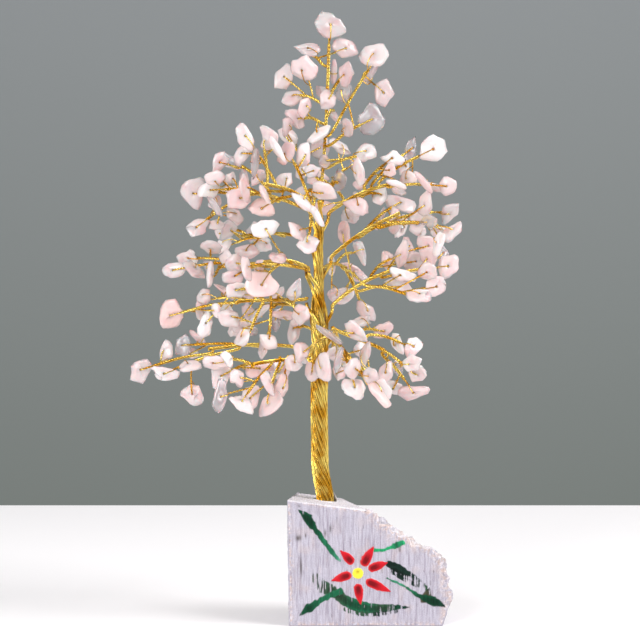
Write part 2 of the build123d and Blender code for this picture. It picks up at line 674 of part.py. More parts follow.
def socket_glue():
    """The collar of clear glue round the trunk's foot, with a low bead above the stone."""
    top = base_top(SOCKET_CENTRE.X) + GLUE_RISE
    with BuildPart() as glue:
        with BuildSketch(Plane.XY.offset(SOCKET_FLOOR)):
            with Locations((SOCKET_CENTRE.X, SOCKET_CENTRE.Y)):
                RegularPolygon(radius=SOCKET_RADIUS, side_count=GLUE_SIDES)
                RegularPolygon(radius=GLUE_INNER_RADIUS, side_count=GLUE_SIDES, mode=Mode.SUBTRACT)
        extrude(amount=top - SOCKET_FLOOR)
        rim = glue.faces().sort_by(Axis.Z)[-1].outer_wire().edges()
        chamfer(rim, GLUE_WALL / 2)
    return glue.part


os.makedirs("parts", exist_ok=True)


def save(name, solids):
    piece = solids[0] if len(solids) == 1 else Compound(children=solids)
    piece.label = name
    export_step(piece, f"parts/{name}.step")


save("base_block", [base_block()])
save("socket_glue", [socket_glue()])
save("leader_core", [bent_wire(leader_run())])
for strand in STRANDS:
    save(f"{strand.name}_strand", [bent_wire(strand_run(strand))])
for branch in BRANCHES:
    stem = branch_stem(stem_points[branch.name])
    save(f"{branch.name}_wire", [stem] + [bent_wire(run) for run in wire_runs[branch.name]])
    save(f"{branch.name}_chips", [quartz_chip(chip) for chip in chip_places[branch.name]])
save("leader_wire", [bent_wire(run) for run in wire_runs["leader"]])
save("leader_chips", [quartz_chip(chip) for chip in chip_places["leader"]])
print(f"{next(chip_numbers) - 1} chips, of which {len(unsettled)} found no clear place")
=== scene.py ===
# %% [markdown]
# # A gemstone tree
#
# The ornament is a small tree: a trunk of twisted gold wire stands in a painted block of stone,
# divides into branches and twigs, and every twig ends in drilled chips of rose quartz. The packed
# model already holds every chip and wire as a plain solid. This lesson reads where they are and
# makes the real surfaces round the same lines.

# %% Load the frame
import json
import bpy
import numpy as np
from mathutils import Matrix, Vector


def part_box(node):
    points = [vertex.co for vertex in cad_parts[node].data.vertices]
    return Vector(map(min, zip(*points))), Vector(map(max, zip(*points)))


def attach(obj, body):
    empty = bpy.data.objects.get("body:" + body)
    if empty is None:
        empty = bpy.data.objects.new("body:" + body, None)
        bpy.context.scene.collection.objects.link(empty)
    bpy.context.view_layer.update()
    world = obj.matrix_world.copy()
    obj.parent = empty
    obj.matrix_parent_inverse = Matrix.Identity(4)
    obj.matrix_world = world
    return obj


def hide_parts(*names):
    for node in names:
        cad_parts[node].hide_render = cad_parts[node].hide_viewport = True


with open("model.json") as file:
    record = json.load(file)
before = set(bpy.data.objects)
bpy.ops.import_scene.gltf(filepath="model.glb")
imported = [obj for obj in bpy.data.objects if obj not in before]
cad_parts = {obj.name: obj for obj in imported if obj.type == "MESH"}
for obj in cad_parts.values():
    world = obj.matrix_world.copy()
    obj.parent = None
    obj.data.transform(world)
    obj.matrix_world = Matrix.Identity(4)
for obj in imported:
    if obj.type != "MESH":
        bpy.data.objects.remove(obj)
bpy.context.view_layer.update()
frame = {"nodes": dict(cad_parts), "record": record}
MM = 0.001

# %% [markdown]
# ## The camera
#
# The view is level and straight on. One pixel is 0.36 mm at the trunk, seen from 560 mm away, so
# the angle of view follows from the width of the picture.

# %% Camera
PICTURE_PIXELS = 640
PIXEL_PITCH = 0.36 * MM
VIEW_DISTANCE = 560 * MM
EYE_HEIGHT = 107.6 * MM
MIDDLE_PIXEL = PICTURE_PIXELS / 2


def put_in(name, data):
    """A new object in the scene, round its data."""
    thing = bpy.data.objects.new(name, data)
    bpy.context.scene.collection.objects.link(thing)
    return thing


camera_data = bpy.data.cameras.new("level_camera")
camera_data.sensor_fit = "HORIZONTAL"
camera_data.angle = 2 * np.arctan(MIDDLE_PIXEL * PIXEL_PITCH / VIEW_DISTANCE)
camera_data.clip_start = 10 * MM
camera = put_in("level_camera", camera_data)
camera.location = (0, -VIEW_DISTANCE, EYE_HEIGHT)
camera.rotation_euler = (np.pi / 2, 0, 0)
bpy.context.scene.camera = camera
print("angle of view", round(float(np.degrees(camera_data.angle)), 2))


def seen_at(pixels, depth):
    """Places in the model: a pixel's offset from the middle, times the size of a pixel at that depth."""
    pitch = PIXEL_PITCH * (VIEW_DISTANCE + depth) / VIEW_DISTANCE
    column, row = np.asarray(pixels, float).T
    x = (column - MIDDLE_PIXEL) * pitch
    z = EYE_HEIGHT + (MIDDLE_PIXEL - row) * pitch
    return np.stack([x, z], axis=-1)


# %% [markdown]
# ## Grids
#
# Nearly every surface here is a grid of points: rings along a wire, or rings round a chip. One
# helper numbers the quads of many equal grids at once and another puts points and faces into a
# mesh, so no code visits single points.

# %% Grid helpers
def grid_quads(grids, rows, columns, close_rows=False):
    """Point (g, r, c) has number (g * rows + r) * columns + c, and a quad joins it to the next column and
    row. Columns always go round. Rows go back to the first one only in a ring-shaped surface."""
    row_steps = rows if close_rows else rows - 1
    g, r, c = np.meshgrid(np.arange(grids), np.arange(row_steps), np.arange(columns), indexing="ij")
    next_row = (r + 1) % rows
    next_column = (c + 1) % columns
    base = g * rows
    corners = [(r, c), (r, next_column), (next_row, next_column), (next_row, c)]
    return np.stack([(base + row) * columns + place for row, place in corners], axis=-1).reshape(-1, 4)


def make_piece(name, points, face_groups, finish, body, replaced):
    """Puts arrays of points and faces into a new mesh, gives it its finish and ties it to its body."""
    loops = np.concatenate([faces.ravel() for faces in face_groups]).astype(np.int32)
    sizes = np.concatenate([np.full(len(faces), faces.shape[1]) for faces in face_groups])
    starts = np.concatenate([[0], np.cumsum(sizes)[:-1]]).astype(np.int32)
    mesh = bpy.data.meshes.new(name)
    mesh.vertices.add(len(points))
    mesh.vertices.foreach_set("co", np.ascontiguousarray(points, np.float32).ravel())
    mesh.loops.add(len(loops))
    mesh.loops.foreach_set("vertex_index", loops)
    mesh.polygons.add(len(sizes))
    mesh.polygons.foreach_set("loop_start", starts)
    mesh.polygons.foreach_set("use_smooth", np.ones(len(sizes), bool))
    mesh.update(calc_edges=True)
    mesh.materials.append(finish)
    piece = put_in(name, mesh)
    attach(piece, body)
    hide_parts(*replaced)
    return piece


def paint_points(piece, name, colours):
    """Stores one colour, or one grey value, for every point of a piece."""
    layer = piece.data.attributes.new(name, "FLOAT_COLOR", "POINT")
    opaque = np.ones((len(colours), 4), np.float32)
    opaque[:, :3] = np.reshape(colours, (len(colours), -1))
    layer.data.foreach_set("color", opaque.ravel())


# %% [markdown]
# ## Finding the solids
#
# A node of the model is a cloud of loose triangles. Merging equal corners and spreading the
# smallest corner number along the triangles sorts it into closed shells: one for each chip or wire.

# %% Shells of a node
MERGE_STEP = 1e-6


def unit(vectors):
    return vectors / np.maximum(np.linalg.norm(vectors, axis=-1, keepdims=True), 1e-12)


def face_areas(points, triangles):
    """Each triangle's normal, twice as long as its area is large."""
    corner = points[triangles]
    return np.cross(corner[:, 1] - corner[:, 0], corner[:, 2] - corner[:, 0])


def spread_lowest(values, triangles, step):
    """Every point takes the smallest value in its triangles plus a step, until nothing changes."""
    settled = False
    while not settled:
        before = values.copy()
        lowest = values[triangles].min(axis=1) + step
        for corner in range(3):
            np.minimum.at(values, triangles[:, corner], lowest)
        settled = np.array_equal(before, values)
    return values


def shells_of(node):
    """Every point starts with its own number, and the points of one shell end with the same one."""
    mesh = frame["nodes"][node].data
    loose = np.empty(len(mesh.vertices) * 3, np.float32)
    mesh.vertices.foreach_get("co", loose)
    mesh.calc_loop_triangles()
    corners = np.empty(len(mesh.loop_triangles) * 3, np.int32)
    mesh.loop_triangles.foreach_get("vertices", corners)
    steps = np.round(loose.reshape(-1, 3) / MERGE_STEP).astype(np.int64)
    merged, place = np.unique(steps, axis=0, return_inverse=True)
    points = merged * MERGE_STEP
    triangles = place.ravel()[corners].reshape(-1, 3)
    label = spread_lowest(np.arange(len(points)), triangles, 0)
    shells = []
    for number in np.unique(label):
        own = np.flatnonzero(label == number)
        local = np.searchsorted(own, triangles[label[triangles[:, 0]] == number])
        shells.append((points[own], local))
    return shells


CHIP_NODES, WIRE_NODES, STRAND_NODES = (sorted(name for name in frame["nodes"] if name.endswith(kind))
                                        for kind in ("_chips", "_wire", "_strand"))
ROOT = "trunk_and_base"
BODY_NODES = frame["record"]["behaviour"]["bodies"]
body_of_node = {node: body for body, nodes in BODY_NODES.items() for node in nodes}
print("chip nodes", len(CHIP_NODES), "wire nodes", len(WIRE_NODES), "strands", len(STRAND_NODES))

# %% [markdown]
# ## Gold wire
#
# The wire is bright craft wire with a gold coat: a metal with a clear highlight. Its colour drifts slowly
# along the wire between a deep and a bright gold, partly where the coat is worn and partly as painted
# bands of light and shade, and its roughness drifts too. Every wire also has its own painted shade, so
# that neighbours in a twist can be told apart.

# %% Gold finish
# Lit and shaded copies of one gold: the drift between them paints bands of light and shade, partly wear of
# the coat
GOLD_BRIGHT = (1.0, 0.76, 0.19, 1)
GOLD_DEEP = (0.74, 0.39, 0.03, 1)
WHITE = (1, 1, 1, 1)
MIDDLE_BAND = (0.3, 0.7)
WHOLE_BAND = (0.0, 1.0)
chance = np.random.default_rng(11)


def node_finish(name):
    """A new finish with its nodes, its main shader and the piece's own coordinates at hand."""
    finish = bpy.data.materials.new(name)
    finish.use_nodes = True
    tree = finish.node_tree
    return finish, tree, tree.nodes["Principled BSDF"], add(tree, "ShaderNodeTexCoord", "Object", {})


def feed(tree, node, inputs):
    """Each input of a node is linked to another node's output or takes a plain value."""
    for name, value in inputs.items():
        if isinstance(value, bpy.types.NodeSocket):
            tree.links.new(value, node.inputs[name])
        else:
            node.inputs[name].default_value = value


def add(tree, kind, output, inputs, **settings):
    """One output of a new node, whose settings come before its inputs."""
    node = tree.nodes.new(kind)
    for name, value in settings.items():
        setattr(node, name, value)
    feed(tree, node, inputs)
    return node.outputs[output]


def noise(tree, source, scale, detail=2.0):
    """A noise pattern on a piece's own coordinates, in marks to the metre."""
    inputs = {"Vector": source, "Scale": scale, "Detail": detail}
    return add(tree, "ShaderNodeTexNoise", "Fac", inputs)


def ramp(tree, source, stops):
    """Colours laid along a value, from two (place, colour) pairs."""
    colours = tree.nodes.new("ShaderNodeValToRGB")
    for element, (place, colour) in zip(colours.color_ramp.elements, stops):
        element.position = place
        element.color = colour
    feed(tree, colours, {"Fac": source})
    return colours.outputs["Color"]


def spread(tree, source, low, high, band=MIDDLE_BAND):
    """A band of a value, such as the middle of a pattern, stretched from one value to another."""
    inputs = {"Value": source, "From Min": band[0], "From Max": band[1], "To Min": low, "To Max": high}
    return add(tree, "ShaderNodeMapRange", "Result", inputs)


def stored(tree, name, output="Color"):
    """What a piece stores under a name, as a colour or as a plain factor (Fac)."""
    return add(tree, "ShaderNodeAttribute", output, {}, attribute_name=name)


def colour_mix(tree, under, over, share, blend="MULTIPLY"):
    """One colour mixed over another by a share."""
    inputs = {"A": under, "B": over, "Factor": share}
    return add(tree, "ShaderNodeMix", "Result", inputs, data_type="RGBA", blend_type=blend)


def dents(tree, height, strength, depth):
    """Small dents in the shading, from a pattern."""
    inputs = {"Height": height, "Strength": strength, "Distance": depth}
    return add(tree, "ShaderNodeBump", "Normal", inputs)


def gold_finish():
    finish, tree, shader, place = node_finish("gold_wire")
    # Painted light and shade: the colour drifts between the shaded deep and the lit bright gold, partly as
    # wear
    wear_and_painted_light = ramp(tree, noise(tree, place, 150.0), [(0.40, GOLD_DEEP), (0.56, GOLD_BRIGHT)])
    feed(tree, shader, {
        "Base Color": colour_mix(tree, wear_and_painted_light, stored(tree, "wire_painted_shade"), 1.0),
        "Roughness": spread(tree, noise(tree, place, 700.0), 0.13, 0.24),
        "Metallic": 1.0,
    })
    return finish


gold = gold_finish()
print("finish", gold.name)

# %% [markdown]
# ## Wires along a line
#
# A twisted wire is a bundle of round wires that go round one middle line. First the corners of the
# line are rounded by cutting them again and again. Then each wire is a tube whose middle turns
# round the line with its length.

# %% Lines and tubes
CORNER_CUTS = 3
# Painted shade: every other wire is darkened, and every wire by a chance share, as the light and shade of
# a twist
DARK_WIRE = 0.7
SHADE_SPREAD = (0.85, 1.0)


def evenly(line, count, endpoint=True):
    """Points at even steps along a line of straight runs."""
    length = np.concatenate([[0], np.cumsum(np.linalg.norm(np.diff(line, axis=0), axis=1))])
    wanted = np.linspace(0, length[-1], count, endpoint=endpoint)
    return np.stack([np.interp(wanted, length, column) for column in line.T], axis=-1)


def rounded(line, stations):
    """Cuts every corner at a quarter and three quarters of its sides, a few times, and evens the steps."""
    for _ in range(CORNER_CUTS):
        near = 0.75 * line[:-1] + 0.25 * line[1:]
        far = 0.25 * line[:-1] + 0.75 * line[1:]
        middle = np.stack([near, far], axis=1).reshape(-1, 3)
        line = np.concatenate([line[:1], middle, line[-1:]])
    return evenly(line, stations)


def square_frames(paths):
    """At each station, two directions square to the path. The first is square to the plane in which the
    path bends, so the frames do not spin at a bend."""
    along = unit(np.gradient(paths, axis=1))
    centred = paths - paths.mean(axis=1, keepdims=True)
    flat_normal = np.linalg.svd(centred)[2][:, 2:3, :]
    side = unit(flat_normal - np.sum(flat_normal * along, axis=-1, keepdims=True) * along)
    return side, np.cross(along, side)


def twisted(paths, wires, bundle_radius, pitch):
    """Each wire's middle: the line plus the bundle's radius, at an angle that grows by a turn a pitch."""
    side, up = square_frames(paths)
    steps = np.linalg.norm(np.diff(paths, axis=1), axis=-1)
    length = np.concatenate([np.zeros((len(paths), 1)), np.cumsum(steps, axis=1)], axis=1)
    share = np.arange(wires) / wires
    angle = 2 * np.pi * (length[:, None, :] / pitch + share[None, :, None])
    reach = np.cos(angle)[..., None] * side[:, None] + np.sin(angle)[..., None] * up[:, None]
    return (paths[:, None] + bundle_radius * reach).reshape(-1, paths.shape[1], 3)


def tubes(paths, radius, sides):
    """Rings of points at a radius round each path, joined by quads, with a flat face over both ends."""
    count, stations = paths.shape[:2]
    side, up = square_frames(paths)
    angle = 2 * np.pi * np.arange(sides) / sides
    ring = np.cos(angle)[:, None] * side[:, :, None] + np.sin(angle)[:, None] * up[:, :, None]
    points = (paths[:, :, None] + radius * ring).reshape(-1, 3)
    first = np.arange(count)[:, None] * stations * sides + np.arange(sides)
    last = first + (stations - 1) * sides
    caps = np.concatenate([first[:, ::-1], last])
    return points, grid_quads(count, stations, sides), caps, np.full(count, stations * sides)


def wire_piece(name, parts, body, replaced):
    """Sets of tubes as one piece of gold wire, every other one in a darker painted shade so a twist shows.
    """
    points, quads, caps, counts = zip(*parts)
    offsets = np.cumsum([0] + [len(group) for group in points])
    quads = np.concatenate([group + offset for group, offset in zip(quads, offsets)])
    caps = [group + offset for group, offset in zip(caps, offsets)]
    points, counts = np.concatenate(points), np.concatenate(counts)
    piece = make_piece(name, points, [quads] + caps, gold, body, [replaced])
    # Each wire's painted shade, darker on every other wire
    every_other = np.where(np.arange(len(counts)) % 2, 1.0, DARK_WIRE)
    painted_wire_shade = np.repeat(every_other * chance.uniform(*SHADE_SPREAD, len(counts)), counts)
    paint_points(piece, "wire_painted_shade", painted_wire_shade)


# %% [markdown]
# ## The middle lines of the wires
#
# Every solid wire is a row of rings with few corners. Starting from the ring at one end and
# stepping along the triangles' edges gives the rings in order, and the middle of each ring is a
# point of the wire's line.

# %% Rings of a wire
TWIG_SIDES = 3
STALK_SIDES = 3
STEM_SIDES = 6
STRAND_SIDES = 5
STALK_CORNERS = 3 * STALK_SIDES
TWIG_CORNERS = 4 * TWIG_SIDES


def step_counts(triangles, count, start):
    """Edges from the starting points to each point, worked out a step at a time for all points."""
    steps = np.full(count, count + 1)
    steps[start] = 0
    return spread_lowest(steps, triangles, 1)


def end_ring(points, corner, sides):
    """The points nearest to an end corner, and how clearly they stand apart from the next ring."""
    distance = np.linalg.norm(points - points[corner], axis=1)
    order = np.argsort(distance)
    return order[:sides], distance[order[sides]] / distance[order[sides - 1]]


def ring_middles(shell, sides):
    """The middles of a wire's rings, in order from its clearer end."""
    points, triangles = shell
    one_end = np.argmax(np.linalg.norm(points - points.mean(axis=0), axis=1))
    other_end = np.argmax(step_counts(triangles, len(points), [one_end]))
    both_ends = (end_ring(points, corner, sides) for corner in (one_end, other_end))
    ring, _ = max(both_ends, key=lambda pair: pair[1])
    steps = step_counts(triangles, len(points), ring)
    return np.array([points[steps == level].mean(axis=0) for level in range(steps.max() + 1)])


# %% [markdown]
# ## Rose quartz
#
# Tumbled rose quartz is milky: light goes in, spreads and comes out pink, and the polished skin
# mirrors a lamp. Some chips are nearly white, some pinker, a few clear. So the finish lets light
# scatter below the surface and takes the tint of each chip from the chip itself, with cloudy veins
# through it.

# %% Quartz finish
VEIN_PINK = (0.92, 0.56, 0.58, 1)


def quartz_finish():
    finish, tree, shader, place = node_finish("rose_quartz")
    cloud = spread(tree, noise(tree, place, 190.0, 3.0), -0.6, 0.55)
    fine = noise(tree, place, 420.0)
    feed(tree, shader, {
        "Base Color": colour_mix(tree, stored(tree, "chip_tint"), VEIN_PINK, cloud, "MIX"),
        "Roughness": spread(tree, fine, 0.1, 0.26),
        "Normal": dents(tree, fine, 0.3, 0.15 * MM),
        "Transmission Weight": stored(tree, "chip_clear", "Fac"),
        "Subsurface Weight": 0.6,
        "Subsurface Radius": (1.0, 0.55, 0.5),
        "Subsurface Scale": 1.2 * MM,
        "IOR": 1.54,
    })
    return finish


quartz = quartz_finish()
print("finish", quartz.name)

# %% [markdown]
# ## The chips
#
# Each chip is a drilled pebble, so its surface has the shape of a ring: out over the front from the
# hole's rim, round the edge, back over the other side and through the hole. The solid gives the
# outline at the chip's waist, the drill's axis and the thickness. The corners are softened as
# tumbling does it, and a few chance planes flatten it as breaks do.

# %% Chip measures
WALL_COSINE = 0.2
SAME_COSINE = 0.9999


def chip_measures(shell):
    """The drill's axis from the largest face, the hole from the walls along that axis, the outline from
    the points between the two faces."""
    points, triangles = shell
    area = face_areas(points, triangles)
    normal = unit(area)
    alike = normal @ normal.T > SAME_COSINE
    axis = normal[np.argmax(alike @ np.linalg.norm(area, axis=1))]
    wall = np.unique(triangles[np.abs(normal @ axis) < WALL_COSINE])
    hole = points[wall].mean(axis=0)
    level = (points - hole) @ axis
    thickness = level.max() - level.min()
    middle_level = (level.max() + level.min()) / 2
    waist = points[np.abs(level - middle_level) < thickness / 4]
    hole = hole + axis * middle_level
    return axis, hole, thickness, waist


chip_places = {node: [chip_measures(shell) for shell in shells_of(node)] for node in CHIP_NODES}
print("chips", sum(len(chips) for chips in chip_places.values()))

# %% One chip's surface
CHIP_COLUMNS = 18
CHIP_UP = (0.31, 0.2, 0.93)
HOLE_RADIUS = 0.45 * MM
CHIP_BREAKS = 10
FINE_POINTS = 144
SOFT_SHARE = 0.02
SPREAD_SHARE = 1.26
FULL_SHARE = 0.06
BITE_DEPTH = 0.06
LUMP_DEPTH = 0.12
WHOLE_TURN = 6.3
SECTION_ANGLES = np.radians([80, 64, 47, 28, 6, -16, -36, -54, -70, -81])
SHARE_POWER = 0.5
LEVEL_POWER = 0.8
BREAK_DEPTHS = (0.6, 0.95)
BREAK_FLATNESS = 0.85
KEPT_RIM = 0.3


def closed_loop(corners, middle):
    """Corners in order round a middle, with the first one again at the end."""
    turn = corners - middle
    ordered = corners[np.argsort(np.arctan2(turn[:, 1], turn[:, 0]))]
    return np.concatenate([ordered, ordered[:1]])


def chip_outline(place):
    """The waist's corners in order round their middle, followed at even steps and softened by a moving
    mean. Two sines round it make shallow bites, turned by the hole's place, so that a chip and its wire
    find the same edge. Gives two directions, the middle, the outline and the hole's offset from it."""
    axis, hole, _, waist = place
    across = unit(np.cross(axis, CHIP_UP))
    upright = np.cross(axis, across)
    middle = waist.mean(axis=0)
    flat = np.stack([(waist - middle) @ across, (waist - middle) @ upright], axis=-1)
    fine = evenly(closed_loop(flat, 0), FINE_POINTS, endpoint=False)
    reach = int(FINE_POINTS * SOFT_SHARE)
    shifts = np.arange(-reach, reach + 1)
    soft = np.mean([np.roll(fine, shift, axis=0) for shift in shifts], axis=0)
    distance = np.linalg.norm(soft, axis=1, keepdims=True)
    full = distance + FULL_SHARE * (distance.mean() - distance)
    angle = np.arctan2(soft[:, 1:], soft[:, :1])
    turns = hole[:2] / MM
    bites = 1 + BITE_DEPTH * np.sin(3 * angle + turns[0]) + BITE_DEPTH * np.sin(5 * angle + turns[1])
    outline = SPREAD_SHARE * (soft * bites * full / distance)[::FINE_POINTS // CHIP_COLUMNS]
    offset = np.array([(hole - middle) @ across, (hole - middle) @ upright])
    return across, upright, middle, outline, offset


def chip_surface(place):
    """Point (row, column) lies between the hole's rim and the outline by the row's share: the cosine of
    the section's angle to a low power. Its level is the sine of that angle, to a power, times half the
    thickness. Most of what stands out over a break's plane is pressed back."""
    axis, _, thickness, _ = place
    across, upright, middle, outline, offset = chip_outline(place)
    rim = offset + HOLE_RADIUS * unit(outline - offset)
    share = np.cos(SECTION_ANGLES) ** SHARE_POWER
    share = (share - share.min()) / (share.max() - share.min())
    sine = np.sin(SECTION_ANGLES)
    level = np.sign(sine) * np.abs(sine) ** LEVEL_POWER * thickness / 2
    flat = rim + share[:, None, None] * (outline - rim)
    turn = 2 * np.arctan2(outline[:, 1], outline[:, 0]) + chance.uniform(0, WHOLE_TURN)
    lumps = 1 + LUMP_DEPTH * np.sin(turn)
    height = level[:, None] * (1 + share[:, None] * (lumps - 1))
    local = np.concatenate([flat, height[..., None]], axis=-1)
    size = np.array([np.ptp(outline[:, 0]), np.ptp(outline[:, 1]), thickness]) / 2
    breaks = unit(chance.normal(size=(CHIP_BREAKS, 3)))
    depth = chance.uniform(*BREAK_DEPTHS, CHIP_BREAKS)
    scaled = local / size
    over = np.maximum(scaled @ breaks.T - depth, 0)
    keep = np.minimum(share / KEPT_RIM, 1.0)[:, None, None]
    local = (scaled - BREAK_FLATNESS * keep * (over @ breaks)) * size
    return middle + local[..., 0:1] * across + local[..., 1:2] * upright + local[..., 2:3] * axis


# %% All chips
# Each kind of chip: its tint, its share of all chips and how clear it is
CHIP_KINDS = {
    "pale": ((0.98, 0.84, 0.84), 0.44, 0.42),
    "milky": ((0.98, 0.88, 0.88), 0.17, 0.28),
    "pink": ((0.98, 0.77, 0.77), 0.24, 0.36),
    "clear": ((0.95, 0.87, 0.89), 0.10, 0.85),
    "deep_pink": ((0.97, 0.71, 0.69), 0.05, 0.22),
}
TINTS, TINT_SHARES, CLEAR_SHARES = (np.array(column) for column in zip(*CHIP_KINDS.values()))
TINT_SPREAD = (0.95, 1.03)
PALEST = 0.98
CLEAR_SPREAD = (0.6, 1.3)
TIP_CLEARER = 1.4
CLEAREST = 0.82
for node in CHIP_NODES:
    surfaces = np.array([chip_surface(place) for place in chip_places[node]])
    count, rows, columns = surfaces.shape[:3]
    quads = grid_quads(count, rows, columns, close_rows=True)[:, ::-1]
    branch = body_of_node[node]
    points = surfaces.reshape(-1, 3)
    piece = make_piece(node + "_tumbled", points, [quads], quartz, branch, [node])
    kind = chance.choice(len(TINTS), count, p=TINT_SHARES)
    tint = np.clip(TINTS[kind] * chance.uniform(*TINT_SPREAD, (count, 1)), 0, PALEST)
    paint_points(piece, "chip_tint", np.repeat(tint, rows * columns, axis=0))
    clear = CLEAR_SHARES[kind] * chance.uniform(*CLEAR_SPREAD, count)
    if branch == ROOT:
        clear = TIP_CLEARER * clear
    clear = np.minimum(clear, CLEAREST)
    paint_points(piece, "chip_clear", np.repeat(clear, rows * columns))
print("faces to a chip", rows * columns)

# %% [markdown]
# ## Stems, twigs and stalks
#
# Every chip hangs on a twisted pair of thin wire, which lies on the chip and dives into its hole.
# Pairs join to twigs of four wires and twigs to stems of six. All are the same twist, with more
# wires and a longer pitch.

# %% Wires of the branches
WIRE_RADIUS = 0.2 * MM
# Stations along a line, wires, radius of the bundle and of a wire, length of a turn and sides of a wire
STALK_LAY = (26, 2, WIRE_RADIUS, WIRE_RADIUS, 2.2 * MM, 4)
TWIG_LAY = (36, 4, 0.37 * MM, 0.23 * MM, 4.2 * MM, 5)
STEM_LAY = (64, 6, 0.48 * MM, 0.22 * MM, 8.0 * MM, 6)
LOOP_STATIONS = 12
LOOP_SIDES = 4
LET_IN = 0.6 * MM
FOOT_GAP = np.array((0, 0, 0.12 * MM))
ELBOW_RISE = np.array((0, 0, 1.6 * MM))
LOOP_SHARES = np.array((0.0, 0.35, 0.7, 0.95, 1.06))
LOOP_LEVELS = np.array((1.0, 1.0, 0.85, 0.5, 0.0))
JOIN_SHARE = 1.35
SAME_LEVEL = 0.01 * MM


def let_in(line):
    """A line whose first point is moved back along its first run, into the wire that it leaves."""
    start = line[0] + LET_IN * unit(line[0] - line[1])
    return np.concatenate([start[None], line[1:]])


def stalk_line(shell, holes):
    """The stalk's line from its twig to the hole: its pin is the end that is nearest to a hole."""
    line = ring_middles(shell, STALK_SIDES)
    first, last = (np.linalg.norm(holes - end, axis=1).min() for end in (line[0], line[-1]))
    return let_in(line if last < first else line[::-1])


def loop_line(line, places):
    """The pair's second wire: out of the hole on the far side, over that face to the chip's edge and
    round it to the stalk. Its points lie at shares of the way there, at levels in half thicknesses."""
    elbow = line[1]
    place = min(places, key=lambda chip: np.linalg.norm(chip[1] - line[-1]))
    axis, hole, thickness, _ = place
    through = axis * np.sign((line[-1] - elbow) @ axis)
    along = line[0] - elbow
    along = unit(along - (along @ axis) * axis)
    across, upright, _, outline, offset = chip_outline(place)
    from_hole = outline - offset
    angle = np.arctan2(from_hole[:, 1], from_hole[:, 0])
    heading = np.arctan2(along @ upright, along @ across)
    reach = np.interp(heading, angle, np.linalg.norm(from_hole, axis=1), period=2 * np.pi)
    over_face = hole + reach * LOOP_SHARES[:, None] * along
    over_face = over_face + (LOOP_LEVELS[:, None] * thickness / 2 + WIRE_RADIUS) * through
    join = elbow + (line[0] - elbow) * min(1.0, JOIN_SHARE * reach / np.linalg.norm(line[0] - elbow))
    return np.concatenate([hole[None], over_face, join[None]])


def stem_line(shell):
    """The upright pivot's axis from just above its foot, then the stem's middle and end."""
    points, triangles = shell
    lowest = points[points[:, 2] < points[:, 2].min() + SAME_LEVEL]
    foot = lowest.mean(axis=0)
    far_end = np.argmax(np.linalg.norm(points - foot, axis=1))
    ring, _ = end_ring(points, far_end, STEM_SIDES)
    steps = step_counts(triangles, len(points), ring)
    middle, end = (points[steps == level].mean(axis=0) for level in (1, 0))
    return np.array([foot + FOOT_GAP, foot + ELBOW_RISE, middle, end])


def bundle(lines, stations, wires, bundle_radius, wire_radius, pitch, sides):
    """Lines rounded, twisted and given thickness."""
    paths = np.array([rounded(line, stations) for line in lines])
    return tubes(twisted(paths, wires, bundle_radius, pitch), wire_radius, sides)


wire_count = 0
for node in WIRE_NODES:
    shells = shells_of(node)
    places = chip_places[node.replace("_wire", "_chips")]
    holes = np.array([hole for _, hole, _, _ in places])
    twig_shells = [shell for shell in shells if len(shell[0]) == TWIG_CORNERS]
    stalks = [stalk_line(shell, holes) for shell in shells if len(shell[0]) == STALK_CORNERS]
    twigs = [let_in(ring_middles(shell, TWIG_SIDES)[::-1]) for shell in twig_shells]
    stems = [stem_line(shell) for shell in shells if len(shell[0]) > TWIG_CORNERS]
    loops = np.array([rounded(loop_line(line, places), LOOP_STATIONS) for line in stalks])
    parts = [bundle(stalks, *STALK_LAY), tubes(loops, WIRE_RADIUS, LOOP_SIDES), bundle(twigs, *TWIG_LAY)]
    if stems:
        parts.append(bundle(stems, *STEM_LAY))
    wire_piece(node + "_twisted", parts, body_of_node[node], node)
    wire_count += len(stalks) + len(twigs) + len(stems)
print("twisted wires", wire_count)

# %% [markdown]
# ## The trunk
#
# The trunk is laid like rope: eighteen strands go round a core and leave it one by one to become
# branches. Each strand is itself a twist of finer wires, so it is made the same way on the strand's
# own line.

# %% Trunk strands
LEADER = "leader_core"
# The step between rings, wires, radius of the bundle and of a wire, length of a turn, sides of a wire
STRAND_LAY = (1.5 * MM, 6, 0.42 * MM, 0.21 * MM, 55 * MM, 6)
LEADER_LAY = (0.6 * MM, 4, 0.42 * MM, 0.21 * MM, 5 * MM, 6)


def strand_line(node):
    line = ring_middles(shells_of(node)[0], STRAND_SIDES)
    return line if line[0, 2] < line[-1, 2] else line[::-1]


for node in STRAND_NODES + [LEADER]:
    line = strand_line(node)
    length = np.linalg.norm(np.diff(line, axis=0), axis=1).sum()
    step, *lay = LEADER_LAY if node == LEADER else STRAND_LAY
    strand = bundle([line], int(length / step), *lay)
    wire_piece(node + "_laid", [strand], ROOT, node)
print("strands", len(STRAND_NODES) + 1)

# %% [markdown]
# ## The stone block
#
# The base is a small offcut: sawn on the front, back and left, broken along the sloping right, and
# brushed with a thin white wash that keeps the saw's fine upright lines. Its surface is one grid:
# rings grow from the middle of the front to its outline, go back along the sides and close again on
# the middle of the back. The solid gives the outline.

# %% Block outline
BLOCK_COLUMNS = 540
FRONT_ROWS = 112
SIDE_ROWS = 32
BACK_ROWS = 14
EDGE_BREAK = 0.7 * MM
LEFT_TAPER = 3.8 * MM
EDGE_REACH = 0.02 * MM
MIDDLE_PLACE = np.array([1, 0.9])
LEAST_LEAN = 0.05
LEAST_RISE = 0.3

